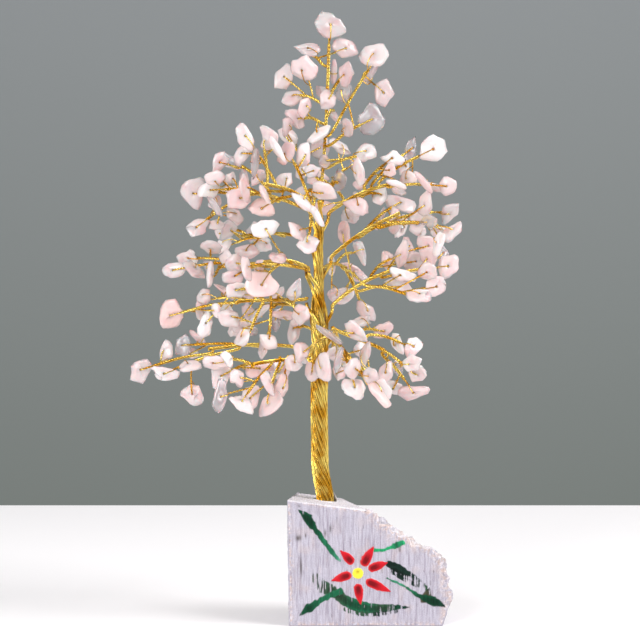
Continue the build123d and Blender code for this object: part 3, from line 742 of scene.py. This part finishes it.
block_low, block_high = (np.array(corner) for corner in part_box("base_block"))
block_points, block_triangles = shells_of("base_block")[0]
on_edge = np.abs(block_points[:, 1] - block_low[1] - EDGE_BREAK) < EDGE_REACH
corners = block_points[on_edge][:, [0, 2]]
block_middle = (corners.min(axis=0) + corners.max(axis=0)) / 2 * MIDDLE_PLACE
loop = closed_loop(corners, block_middle)
corners = loop[:-1]
outline = evenly(loop, BLOCK_COLUMNS, endpoint=False)
tangent = unit(np.roll(outline, -1, axis=0) - np.roll(outline, 1, axis=0))
outward = np.stack([tangent[:, 1], -tangent[:, 0]], axis=-1)
reach = np.linalg.norm(outline - block_middle, axis=1)
print("outline corners", len(corners))

# %% [markdown]
# The broken slope leans to the back, so that its far edge is hidden from the front. Its plane is
# the largest face that looks up and a little to the back.

# %% Broken slope
facing = face_areas(block_points, block_triangles)
leaning = (unit(facing)[:, 1] > LEAST_LEAN) & (unit(facing)[:, 2] > LEAST_RISE)
slope_face = np.argmax(np.where(leaning, np.linalg.norm(facing, axis=1), 0))
slope_normal = unit(facing)[slope_face]
slope_level = block_points[block_triangles[slope_face, 0]] @ slope_normal
print("slope looks to", slope_normal.round(3))

# %% Grain by numbers
LATTICE_TURNS = np.array([12.9898, 78.233, 37.719])
LATTICE_STRETCH = 43758.5453


def grain(places, marks, seed):
    """Smooth noise between 0 and 1: every corner of a lattice has a chance value, made from a sine of its
    numbers, and a point blends its eight corners by the smooth step of its place in the cell. Marks are
    counted to the metre."""
    scaled = places * np.asarray(marks, float)
    cell = np.floor(scaled)
    within = scaled - cell
    within = within * within * (3 - 2 * within)
    total = 0
    for corner in np.ndindex(2, 2, 2):
        lattice = cell + corner
        mixed = np.sin(lattice @ LATTICE_TURNS + seed) * LATTICE_STRETCH
        weight = np.prod(np.where(corner, within, 1 - within), axis=-1)
        total = total + weight * (mixed - np.floor(mixed))
    return total


def smooth_step(value, low, high):
    share = np.clip((value - low) / (high - low), 0, 1)
    return share * share * (3 - 2 * share)


# %% Block surface
INNERMOST = 0.004
BROKEN_TURN = (0.1, 0.5)
BROKEN_HEIGHT = (4 * MM, 9 * MM)
UNDER_TURN = (0.6, 0.9)
RIM_REACH = 1.3 * MM

bevel_angle = np.radians([22.5, 45, 67.5])
front_bevel, side_bevel = 1 - np.sin(bevel_angle), 1 - np.cos(bevel_angle)
half_depth = (block_high[1] - block_low[1]) / 2
side_depth = np.linspace(-half_depth + EDGE_BREAK, half_depth - EDGE_BREAK, SIDE_ROWS)
row_inset = EDGE_BREAK * np.concatenate(
    [np.ones(FRONT_ROWS), front_bevel, np.zeros(SIDE_ROWS), side_bevel, np.ones(BACK_ROWS)])
row_depth = np.concatenate(
    [np.full(FRONT_ROWS, -half_depth), -half_depth + EDGE_BREAK * side_bevel, side_depth,
     half_depth - EDGE_BREAK * front_bevel, np.full(BACK_ROWS, half_depth)])
row_share = np.concatenate(
    [np.linspace(INNERMOST, 1, FRONT_ROWS), np.ones(SIDE_ROWS + 2 * len(bevel_angle)),
     np.linspace(1, INNERMOST, BACK_ROWS)])
depth = row_depth[:, None]
rim = block_middle + (1 - row_inset[:, None] / reach)[..., None] * (outline - block_middle)
slope_top = (slope_level - slope_normal[0] * rim[..., 0] - slope_normal[1] * depth) / slope_normal[2]
rim[..., 1] = np.minimum(rim[..., 1], slope_top)
rim[..., 0] = np.maximum(rim[..., 0], block_low[0] + LEFT_TAPER * (depth + half_depth) / (2 * half_depth))
flat = block_middle + row_share[:, None, None] * (rim - block_middle)
block_rows = len(row_share)
block_grid = np.stack([flat[..., 0], np.repeat(depth, BLOCK_COLUMNS, axis=1), flat[..., 1]], axis=-1)

to_edge = (1 - row_share[:, None]) * reach[None]
row = np.arange(block_rows)[:, None] + np.zeros(BLOCK_COLUMNS, int)
is_front, is_back = row < FRONT_ROWS, row >= block_rows - BACK_ROWS
is_side = ~is_front & ~is_back
broken = (smooth_step(outward[:, 0], *BROKEN_TURN) * smooth_step(outline[:, 1], *BROKEN_HEIGHT))[None]
underside = smooth_step(-outward[:, 1], *UNDER_TURN)[None]
near_rim = np.exp(-to_edge / RIM_REACH)
print("block grid", block_grid.shape[:2])

# %% [markdown]
# ## The painted flower
#
# Six red daubs, a yellow dot and green leaf strokes are painted by hand on the front. Paint this
# thick stands up from the stone, so each stroke both colours the grid and raises it a little. A
# stroke is a line with a width at every point. Where the brush runs dry it only touches the high
# lines of the stone, so there the cover follows fine upright streaks.

# %% Strokes
PAINT_DEPTH = float(block_low[1])
YELLOW_DOT = (357.9, 573.3)
YELLOW_RADIUS = 5.5
# Each petal, in pixels of the picture: its tip, its rounded end by the dot and its half width
PETALS = {
    "upper_left": ((340.8, 550.9), (353.4, 563.6), 4.7),
    "upper_right": ((373.2, 546.7), (362.6, 566.0), 5.2),
    "right": ((387.1, 562.4), (368.5, 569.2), 4.7),
    "lower_right": ((390.2, 591.5), (366.0, 580.6), 4.8),
    "bottom": ((360.5, 603.6), (357.5, 583.6), 4.9),
    "left": ((332.0, 580.6), (351.1, 574.2), 4.7),
}
# Each leaf: its line, and for every point of it the width, how dry the brush is, and the green
LEAVES = {
    "top_left": (
        ((339.4, 560.8), (331, 550.5), (323.4, 540.6), (312.5, 525.5), (307.4, 517.6), (298, 509.4)),
        (2.6, 5.0, 5.8, 5.4, 10.6, 0.8), (0.2, 0.1, 0.1, 0.05, 0, 0.35),
        ("teal", "leaf", "leaf", "deep", "deep", "deep")),
    "top_right": (
        ((374.6, 550.4), (384, 550.2), (391.5, 547.2), (398.6, 544.2), (404.0, 543.0)),
        (3.6, 3.8, 3.2, 7.4, 4.0), (0.05, 0.1, 0, 0, 0), ("bright", "bright", "bright", "leaf", "bright")),
    "right_edge": (
        ((389.6, 564), (395, 567), (403, 570.6), (415, 577.4), (426.6, 584.6)),
        (8.0, 8.5, 5.5, 3.4, 1.0), (0, 0.1, 0.2, 0.45, 0.75), ("dark",) * 5),
    "right_streaks": (
        ((394, 570), (402, 574.6), (414, 581.5), (426, 588)),
        (9.0, 10.0, 9.0, 6.0), (0.4, 0.52, 0.6, 0.72), ("dark", "dark", "dark", "olive")),
    "right_spike": (
        ((424, 599), (427.6, 594), (429.6, 587.6)),
        (9.0, 7.5, 1.0), (0.1, 0.2, 0.3), ("brown", "brown", "dark")),
    "right_low": (
        ((387.2, 578.4), (400, 583.4), (411.5, 591), (419, 596.2), (431.5, 600.6), (445.4, 606.4)),
        (2.4, 2.4, 3.0, 5.0, 11.0, 1.0), (0, 0, 0, 0.05, 0.05, 0.2),
        ("leaf", "teal", "leaf", "deep", "deep", "dark")),
    "low_dry": (
        ((312.6, 571), (316.5, 579), (322.3, 586.6), (331, 590.6)),
        (4.0, 10.0, 13.0, 12.0), (0.66, 0.62, 0.56, 0.4), ("brown", "olive", "olive", "olive")),
    "low_smear": (
        ((330, 589), (338, 595.4), (350.2, 603.6), (366, 608.6), (384, 608.4), (397, 607.2), (409.5, 607)),
        (9.0, 11.0, 12.5, 11.5, 9.0, 6.0, 1.2), (0.4, 0.2, 0.1, 0.12, 0.22, 0.2, 0.4),
        ("olive", "olive", "leaf", "leaf", "olive", "deep", "dark")),
    "low_under": (
        ((345, 609), (360, 614), (377, 614.4), (396, 611.6)),
        (5.0, 5.0, 5.0, 4.0), (0.52, 0.5, 0.48, 0.58), ("olive", "olive", "dark", "dark")),
    "low_left": (
        ((340, 591.2), (328, 596.2), (318, 602.0), (310.6, 606.8), (299.4, 615.8)),
        (7.0, 6.2, 6.0, 9.4, 0.8), (0.1, 0.05, 0, 0, 0.25), ("leaf", "leaf", "leaf", "deep", "deep")),
}
PAINTS = {
    "red": (0.56, 0.010, 0.020),
    "light_red": (0.66, 0.045, 0.045),
    "dark_red": (0.08, 0.001, 0.003),
    "yellow": (0.90, 0.78, 0.06),
    "ochre": (0.42, 0.30, 0.02),
    "bright": (0.016, 0.33, 0.13),
    "teal": (0.045, 0.24, 0.14),
    "leaf": (0.010, 0.115, 0.052),
    "deep": (0.003, 0.050, 0.022),
    "dark": (0.005, 0.020, 0.014),
    "olive": (0.026, 0.068, 0.036),
    "brown": (0.065, 0.060, 0.035),
}
PAINTS = {name: np.array(colour) for name, colour in PAINTS.items()}
BRUSH_STATIONS = 40
PIXEL_HERE = PIXEL_PITCH * (VIEW_DISTANCE + PAINT_DEPTH) / VIEW_DISTANCE


def along_stroke(places, line):
    """For every place: the distance to the nearest point of a rounded line, and its share of the line."""
    spots = seen_at(line, PAINT_DEPTH)
    path = rounded(np.column_stack([spots, np.zeros(len(spots))]), BRUSH_STATIONS)[:, :2]
    step = path[1:] - path[:-1]
    offset = places[:, None] - path[None, :-1]
    part = np.clip(np.sum(offset * step, axis=-1) / np.sum(step * step, axis=-1), 0, 1)
    gap = np.linalg.norm(offset - part[..., None] * step, axis=-1)
    nearest = gap.argmin(axis=1)
    own = np.arange(len(places))
    return gap[own, nearest], (nearest + part[own, nearest]) / (BRUSH_STATIONS - 1)


# Each pattern of the front: its marks to the metre along x, y and z, and its seed
FRONT_GRAINS = {
    "streaks": ((2500, 1, 170), 3.1),
    "fine_streaks": ((4200, 1, 420), 8.7),
    "blotches": ((420, 1, 300), 5.2),
    "wobble": ((1100, 1, 1100), 2.4),
    "edge": ((1500, 1, 1500), 6.6),
    "rim": ((2600, 1, 2600), 7.1),
    "rim_width": ((230, 1, 230), 4.9),
    "dashes": ((1700, 1, 260), 9.3),
}
WOBBLE_PIXELS = 1.5
front_solid = block_grid[is_front]
front_places = front_solid[:, [0, 2]]
front = {name: grain(front_solid, *pattern) for name, pattern in FRONT_GRAINS.items()}
streaks, fine_streaks, blotches = front["streaks"], front["fine_streaks"], front["blotches"]
wobble = (front["wobble"] - 0.5) * WOBBLE_PIXELS * PIXEL_HERE
print("painted places", len(front_places))

# %% [markdown]
# The wash comes first: a pale lavender white with upright grey streaks, warm stone showing through
# near the edges, painted white highlights along the rim and a few dark dashes where the saw tore the
# stone.

# %% Wash
WASH = np.array((0.49, 0.47, 0.54))
WASH_GREY = np.array((0.30, 0.265, 0.315))
WARM_STONE = np.array((0.62, 0.46, 0.38))
# A white used for painted highlights: the front's rim, the tops of the sides and glints on the broken
# slope
WHITE_HIGHLIGHT = np.array((0.90, 0.88, 0.90))
DARK_STONE = np.array((0.10, 0.085, 0.08))
# Each dark mark: its place and its size, in pixels of the picture
DARK_MARKS = (((298.6, 538), (2.6, 3.0)), ((301.2, 567), (1.0, 10.0)), ((305.6, 535.5), (0.8, 2.4)),
              ((330.6, 529), (1.0, 4.0)), ((325.2, 533), (1.0, 3.4)), ((288.4, 541), (1.2, 3.0)))
STREAK_BAND = (0.45, 0.95)
SCRATCH_DEPTH = 0.08 * MM
# Each kind of paint: where its edge begins and ends, its coat and the height of its bead
COATS = {
    "leaf": (-0.1 * MM, 0.22 * MM, 0.05 * MM, 0.16 * MM),
    "petal": (-0.07 * MM, 0.12 * MM, 0.08 * MM, 0.34 * MM),
    "dot": (-0.06 * MM, 0.12 * MM, 0.1 * MM, 0.3 * MM),
}


def blended(under, over, share):
    """One colour over another, by a share for every point."""
    return under + (over - under) * np.clip(share, 0, 1)[..., None]


grey = 0.5 * smooth_step(streaks, *STREAK_BAND) + 0.35 * smooth_step(fine_streaks, 0.5, 0.95)
colour = blended(WASH, WASH_GREY, grey)
colour = blended(colour, WARM_STONE, 0.18 * smooth_step(blotches, 0.62, 0.95))
front_broken = np.broadcast_to(broken, is_front.shape)[is_front]
rim_width = (0.35 + 0.75 * front["rim_width"] + 0.9 * front_broken) * MM
wear_and_painted_light = np.exp(-to_edge[is_front] / rim_width)
colour = blended(colour, WARM_STONE, 0.75 * wear_and_painted_light * smooth_step(front["edge"], 0.25, 0.75))
# Painted highlight: white specks along the front's rim, where the edge catches the light
colour = blended(colour, WHITE_HIGHLIGHT, 0.6 * wear_and_painted_light * smooth_step(front["rim"], 0.5, 0.9))
dashes = smooth_step(front["dashes"], 0.88, 0.95) * smooth_step(blotches, 0.4, 0.65)
colour = blended(colour, DARK_STONE, 0.55 * dashes)
for spot, size in DARK_MARKS:
    gap = (front_places - seen_at([spot], PAINT_DEPTH)) / (np.array(size) * PIXEL_HERE)
    colour = blended(colour, DARK_STONE, np.exp(-np.sum(gap**2, axis=1)) * (0.5 + streaks))
lift = -SCRATCH_DEPTH * smooth_step(streaks, *STREAK_BAND) - SCRATCH_DEPTH * dashes
wet = np.zeros(len(front_places))

# %% [markdown]
# Leaves go over the wash, then the petals and the dot. Each stroke is darkest where its paint is
# thickest.

# %% Leaf strokes
LEAST_HALF_WIDTH = 0.1 * MM
THICK_HALF_WIDTH = (0.9 * MM, 1.7 * MM)
edge_start, edge_end, coat, bead_height = COATS["leaf"]
high_lines = 0.6 * streaks + 0.4 * fine_streaks
for line, widths, dryness, greens in LEAVES.values():
    gap, share = along_stroke(front_places, line)
    knots = np.linspace(0, 1, len(widths))
    half_width = np.interp(share, knots, widths) / 2 * PIXEL_HERE
    dry = np.interp(share, knots, dryness)
    cover = smooth_step(half_width - gap + wobble, edge_start, edge_end)
    cover = cover * smooth_step(high_lines, 0.75 * dry - 0.05, 0.75 * dry + 0.12)
    shades = np.array([PAINTS[green] for green in greens])
    paint = np.stack([np.interp(share, knots, shades[:, channel]) for channel in range(3)], axis=-1)
    bead = 1 - np.clip(gap / np.maximum(half_width, LEAST_HALF_WIDTH), 0, 1) ** 2
    core = smooth_step(bead, 0.4, 1.0) * smooth_step(half_width, *THICK_HALF_WIDTH)
    paint = paint * ((0.6 + 0.8 * fine_streaks) * (1 - 0.5 * core))[:, None]
    colour = blended(colour, paint, cover)
    lift = lift + cover * (coat + bead_height * bead * (1 - dry))
    wet = np.maximum(wet, cover)
print("leaf strokes", len(LEAVES))

# %% Petals and dot
PETAL_KNOTS = (0, 0.25, 0.55, 0.85, 1)
PETAL_SHARES = (0.15, 0.52, 0.90, 1.0, 0.92)
DENT_OFFSET = (-0.2, -1.6)
DENT_RADIUS = 2.1
DENT_DEPTH = 0.16 * MM
edge_start, edge_end, coat, bead_height = COATS["petal"]
for tip, end, width in PETALS.values():
    tip, end = np.array(tip), np.array(end)
    inner = end + 0.92 * width * unit(tip - end)
    gap, share = along_stroke(front_places, (tip, (tip + inner) / 2, inner))
    half_width = np.interp(share, PETAL_KNOTS, PETAL_SHARES) * width * PIXEL_HERE
    cover = smooth_step(half_width - gap + 0.5 * wobble, edge_start, edge_end)
    inside = 1 - np.clip(gap / half_width, 0, 1)
    paint = blended(PAINTS["light_red"], PAINTS["red"], smooth_step(inside, 0.0, 0.35))
    shadow = 0.8 * smooth_step(share, 0.3, 0.85) * smooth_step(inside, 0.15, 0.75)
    paint = blended(paint, PAINTS["dark_red"], shadow)
    colour = blended(colour, paint, cover)
    lift = lift + cover * (coat + bead_height * (1 - (1 - inside) ** 2))
    wet = np.maximum(wet, cover)

edge_start, edge_end, coat, bead_height = COATS["dot"]
gap = np.linalg.norm(front_places - seen_at([YELLOW_DOT], PAINT_DEPTH), axis=1)
dot = smooth_step(YELLOW_RADIUS * PIXEL_HERE - gap + 0.4 * wobble, edge_start, edge_end)
dent = np.linalg.norm(front_places - seen_at([np.add(YELLOW_DOT, DENT_OFFSET)], PAINT_DEPTH), axis=1)
middle_dot = np.exp(-(dent / (DENT_RADIUS * PIXEL_HERE)) ** 2)
colour = blended(colour, blended(PAINTS["yellow"], PAINTS["ochre"], 0.85 * middle_dot), dot)
inside = 1 - np.clip(gap / (YELLOW_RADIUS * PIXEL_HERE), 0, 1)
lift = lift + dot * (coat + bead_height * (1 - (1 - inside) ** 2) - DENT_DEPTH * middle_dot)
wet = np.maximum(wet, dot)
print("painted share", round(float((wet > 0.5).mean()), 3))

# %% [markdown]
# The sides have no paint. The broken slope on the right is rough, with grains and painted white glints,
# and the sawn sides carry the wash in long brush marks, with a painted highlight where they face up. All
# of it is pushed in or out along the outline, and the underside stays flat.

# %% Sides of the block
RAGGED_DEPTH = 2.4 * MM
TOP_TURN = (0.7, 0.95)
# Each pattern of the sides: its marks to the metre, the same or one for x, y and z, and its seed
SIDE_GRAINS = {
    "rough": (520, 1.7),
    "grains": (1500, 4.4),
    "brush": ((300, 2200, 260), 7.7),
    "patches": (700, 2.9),
    "sparkle": (2600, 8.1),
}
NIBBLE_GRAIN = (900, 3.8)
RAGGED_GRAIN = ((420, 160, 420), 6.2)
FINE_RAGGED_GRAIN = ((1000, 420, 1000), 2.2)

side = {name: grain(block_grid[~is_front], *pattern) for name, pattern in SIDE_GRAINS.items()}
rough, grains = side["rough"] - 0.5, side["grains"] - 0.5
# Painted light: sides that face up are whitened as if lit from above
lit_top = (smooth_step(outward[:, 1], *TOP_TURN) * is_side)[~is_front]
bare = (broken * is_side)[~is_front]
patchy = smooth_step(side["patches"], 0.35, 0.7)
warm = bare * 0.6 * patchy + 0.2 * patchy * smooth_step(rough, 0.0, 0.3)
# Painted glints: white specks on the broken slope, where its grains would sparkle
glint = bare * (0.08 + 0.5 * smooth_step(side["sparkle"], 0.55, 0.8))
side_colour = blended(WASH, WASH_GREY, 0.45 * smooth_step(side["brush"], *STREAK_BAND))
for over, share in ((WHITE_HIGHLIGHT, 0.6 * lit_top), (WARM_STONE, warm), (WHITE_HIGHLIGHT, glint)):
    side_colour = blended(side_colour, over, share)
side_colour = side_colour * (1 + 0.35 * grains * (0.4 + bare))[:, None]

block_colour = np.empty(block_grid.shape)
block_colour[is_front] = colour
block_colour[~is_front] = side_colour
raised = np.zeros(is_front.shape)
raised[is_front] = lift
raised[~is_front] = (0.25 + 0.9 * bare) * MM * rough + (0.15 + 0.4 * bare) * MM * grains
raised = np.where(is_front, raised, raised * (1 - underside))
edge_rough = grain(block_grid, *NIBBLE_GRAIN) - 0.6
nibble = edge_rough * near_rim * is_front * (0.5 + 0.9 * broken) * (1 - underside) * MM
rim_spot = block_grid.copy()
rim_spot[:FRONT_ROWS] = block_grid[FRONT_ROWS - 1]
rim_spot[-BACK_ROWS:] = block_grid[-BACK_ROWS]
ragged = grain(rim_spot, *RAGGED_GRAIN) + 0.6 * grain(rim_spot, *FINE_RAGGED_GRAIN) - 0.8
ragged = RAGGED_DEPTH * ragged * broken * near_rim * (1 - underside)
block_grid[..., 1] -= np.where(is_front, raised + 0.6 * nibble, 0) - np.where(is_back, raised, 0)
sideways = np.where(is_side, raised, nibble) + ragged
block_grid[..., 0] += sideways * outward[None, :, 0]
block_grid[..., 2] += sideways * outward[None, :, 1]
block_grid[..., 2] = np.maximum(block_grid[..., 2], 0)
print("block reaches", (block_grid.reshape(-1, 3).max(axis=0) / MM).round(1), "mm")


# %% Stone finish
DUST_DARK = (0.85, 0.84, 0.85, 1)
DUST_LIGHT = (1.06, 1.05, 1.06, 1)
SAW_DARK = (0.66, 0.64, 0.68, 1)
SAW_STRETCH = (1.0, 0.05, 0.06)


def stone_finish():
    finish, tree, shader, place = node_finish("painted_stone")
    gloss = stored(tree, "wet_paint", "Fac")
    sparkle = noise(tree, place, 2600.0, 3.0)
    dust = ramp(tree, sparkle, [(0.3, DUST_DARK), (0.65, DUST_LIGHT)])
    specked = colour_mix(tree, stored(tree, "block_paint"), dust, 1.0)
    upright = add(tree, "ShaderNodeMapping", "Vector", {"Vector": place, "Scale": SAW_STRETCH})
    lines = ramp(tree, noise(tree, upright, 3600.0, 3.0), [(0.34, SAW_DARK), (0.56, WHITE)])
    feed(tree, shader, {
        "Base Color": colour_mix(tree, specked, lines, spread(tree, gloss, 0.6, 0.15, WHOLE_BAND)),
        "Roughness": spread(tree, gloss, 0.82, 0.42, WHOLE_BAND),
        "Normal": dents(tree, sparkle, 0.35, 0.12 * MM),
        "Specular IOR Level": 0.12,
    })
    return finish


points = block_grid.reshape(-1, 3)
poles = block_grid[[0, -1]].mean(axis=1)
first_pole, last_pole = np.full((2, BLOCK_COLUMNS), len(points)) + [[0], [1]]
first_row = np.arange(BLOCK_COLUMNS)
last_row = first_row + (block_rows - 1) * BLOCK_COLUMNS
fans = np.concatenate([np.stack([first_pole, np.roll(first_row, -1), first_row], axis=-1),
                       np.stack([last_pole, last_row, np.roll(last_row, -1)], axis=-1)])
faces = [grid_quads(1, block_rows, BLOCK_COLUMNS), fans[:, ::-1]]
stone_block = make_piece("painted_block", np.concatenate([points, poles]), faces, stone_finish(), ROOT,
                         ["base_block"])
ends = block_colour[[0, -1]].mean(axis=1)
paint_points(stone_block, "block_paint", np.concatenate([block_colour.reshape(-1, 3), ends]))
gloss = np.zeros(is_front.shape)
gloss[is_front] = wet
paint_points(stone_block, "wet_paint", np.concatenate([gloss.ravel(), np.zeros(len(poles))]))
print("block faces", sum(len(group) for group in faces))

# %% [markdown]
# ## The glue in the socket
#
# The trunk stands in a drilled hole. The glue round its foot lies low, with a smear of the white wash
# pulled up against the wire at the back. Its surface is a ring: outside, crest, inside and underneath.
# The inside, which dips into the hole, is painted near-black as the hole's shade.

# %% Glue
GLUE_COLUMNS = 64
GLUE_SHARES = np.array((1.10, 1.02, 0.94, 0.86, 0.70, 0.55, 0.80, 1.00))
GLUE_RISES = np.array((-0.25, 0.55, 1.0, 0.45, -0.3, -1.4, -1.8, -1.2))
GLUE_WHITES = np.array((1.0, 1.0, 0.9, 0.25, 0.0, 0.0, 0.0, 0.6))
SMEAR_ANGLE = np.radians(42)
SMEAR_WIDTH = np.radians(30)
GLUE_WHITE = np.array((0.78, 0.76, 0.80))
# Painted shade: the rings that dip into the hole are near-black, as the hole's shade
GLUE_HOLE_SHADE = np.array((0.035, 0.022, 0.015))
GLUE_GRAIN = (2.3, 5.5)
CLOUD_GREY = (0.7, 0.7, 0.7, 1)

glue_low, glue_high = (np.array(corner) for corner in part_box("socket_glue"))
glue_middle = (glue_low + glue_high) / 2
glue_radius = (glue_high[0] - glue_low[0]) / 2
round_angle = 2 * np.pi * np.arange(GLUE_COLUMNS) / GLUE_COLUMNS
circle = np.stack([np.cos(round_angle), np.sin(round_angle), np.zeros(GLUE_COLUMNS)], axis=-1)
lumps = grain(circle, *GLUE_GRAIN)
smear = np.exp(-((round_angle - SMEAR_ANGLE) / SMEAR_WIDTH) ** 2)
bead_height = (0.2 + 0.3 * lumps + 2.6 * smear) * MM
glue_reach = GLUE_SHARES[:, None] * glue_radius * (0.94 + 0.12 * lumps)
high_corner, next_corner = corners[np.argsort(-corners[:, 1])[:2]]
top_fall = (next_corner[1] - high_corner[1]) / (next_corner[0] - high_corner[0])
glue_x = glue_middle[0] + glue_reach * circle[:, 0]
glue_y = glue_middle[1] + glue_reach * circle[:, 1]
glue_z = high_corner[1] + top_fall * (glue_x - high_corner[0]) + GLUE_RISES[:, None] * bead_height
glue_points = np.stack([glue_x, glue_y, glue_z], axis=-1).reshape(-1, 3)


def glue_finish():
    finish, tree, shader, place = node_finish("socket_glue")
    cloud = ramp(tree, noise(tree, place, 900.0), [(0.3, CLOUD_GREY), (0.65, WHITE)])
    feed(tree, shader, {"Base Color": colour_mix(tree, cloud, stored(tree, "glue_and_hole_shade"), 1.0),
                        "Roughness": 0.3})
    return finish


glue_quads = grid_quads(1, len(GLUE_SHARES), GLUE_COLUMNS, close_rows=True)
glue_piece = make_piece("glue_bead", glue_points, [glue_quads], glue_finish(), ROOT,
                        ["socket_glue"])
# Where the white share is 0 the ring takes the painted shade of the hole
white_share = np.repeat(GLUE_WHITES, GLUE_COLUMNS)
paint_points(glue_piece, "glue_and_hole_shade", blended(GLUE_HOLE_SHADE, GLUE_WHITE, white_share))
print("glue reaches", round(glue_radius / MM, 2), "mm from the trunk's middle")

# %% [markdown]
# ## Floor, backdrop and light
#
# The ornament stands on a white table, and a plain grey wall, a little darker low down, stands well
# behind the table's edge. Soft lamps and an even sky give the light.

# %% Stage
FLOOR_BACK = 0.343
FLOOR_FRONT = -0.7
WALL_BACK = 1.2
STAGE_HALF_WIDTH = 1.8
WALL_FOOT = -0.4
WALL_TOP = 1.6
FLOOR_WHITE = (0.90, 0.88, 0.89, 1)
FLOOR_SHINE = 0.07
WALL_LOW = (0.200, 0.222, 0.209, 1)
WALL_HIGH = (0.277, 0.295, 0.303, 1)
SEEN_WALL = (-0.1, 0.47)
STAGE_ROUGHNESS = 0.85


def seen_rays(tree):
    """1 for rays that see a sheet: straight from the camera, in a mirror or through a clear chip."""
    path = tree.nodes.new("ShaderNodeLightPath")
    seen = path.outputs["Is Camera Ray"]
    for ray in ("Is Glossy Ray", "Is Transmission Ray"):
        inputs = {0: seen, 1: path.outputs[ray]}
        seen = add(tree, "ShaderNodeMath", "Value", inputs, operation="MAXIMUM")
    return seen


def stage_sheet(name, corners, low_colour, high_colour, shine=0.0):
    """A flat sheet whose colour goes from low to high over the part of the wall that is seen. A shine is
    added only for rays that see the sheet, not for the light that it sends to the ornament."""
    mesh = bpy.data.meshes.new(name)
    mesh.from_pydata(corners, [], [(0, 1, 2, 3)])
    finish, tree, shader, place = node_finish(name)
    rise = add(tree, "ShaderNodeSeparateXYZ", "Z", {"Vector": place})
    height = spread(tree, rise, 0.0, 1.0, SEEN_WALL)
    colours = ramp(tree, height, [(0.0, low_colour), (1.0, high_colour)])
    feed(tree, shader, {"Base Color": colours, "Roughness": STAGE_ROUGHNESS})
    if shine:
        feed(tree, shader, {"Emission Color": high_colour,
                            "Emission Strength": spread(tree, seen_rays(tree), 0.0, shine, WHOLE_BAND)})
    mesh.materials.append(finish)
    sheet = put_in(name, mesh)


wide = STAGE_HALF_WIDTH
floor_corners = [(-wide, FLOOR_FRONT, 0), (wide, FLOOR_FRONT, 0), (wide, FLOOR_BACK, 0),
                 (-wide, FLOOR_BACK, 0)]
wall_corners = [(-wide, WALL_BACK, WALL_FOOT), (wide, WALL_BACK, WALL_FOOT), (wide, WALL_BACK, WALL_TOP),
                (-wide, WALL_BACK, WALL_TOP)]
stage_sheet("white_floor", floor_corners, FLOOR_WHITE, FLOOR_WHITE, FLOOR_SHINE)
stage_sheet("grey_wall", wall_corners, WALL_LOW, WALL_HIGH)

# %% Lamps
LAMP_AIM = (0, 0, 0.1)
# Each square lamp: its place, its size and its power
LAMPS = {"key_lamp": ((0.74, -0.30, 0.82), 0.5, 8.4), "fill_lamp": ((-0.4, -0.7, 0.4), 0.4, 4.6)}
SKY_STRENGTH = 0.66

for name, (place, size, power) in LAMPS.items():
    lamp_data = bpy.data.lights.new(name, "AREA")
    lamp_data.size = size
    lamp_data.energy = power
    lamp = put_in(name, lamp_data)
    lamp.location = place
    lamp.rotation_euler = (Vector(LAMP_AIM) - Vector(place)).to_track_quat("-Z", "Y").to_euler()
world = bpy.data.worlds.new("even_sky")
bpy.context.scene.world = world
world.use_nodes = True
feed(world.node_tree, world.node_tree.nodes["Background"], {"Color": WHITE, "Strength": SKY_STRENGTH})
bpy.context.scene.view_settings.view_transform = "Standard"
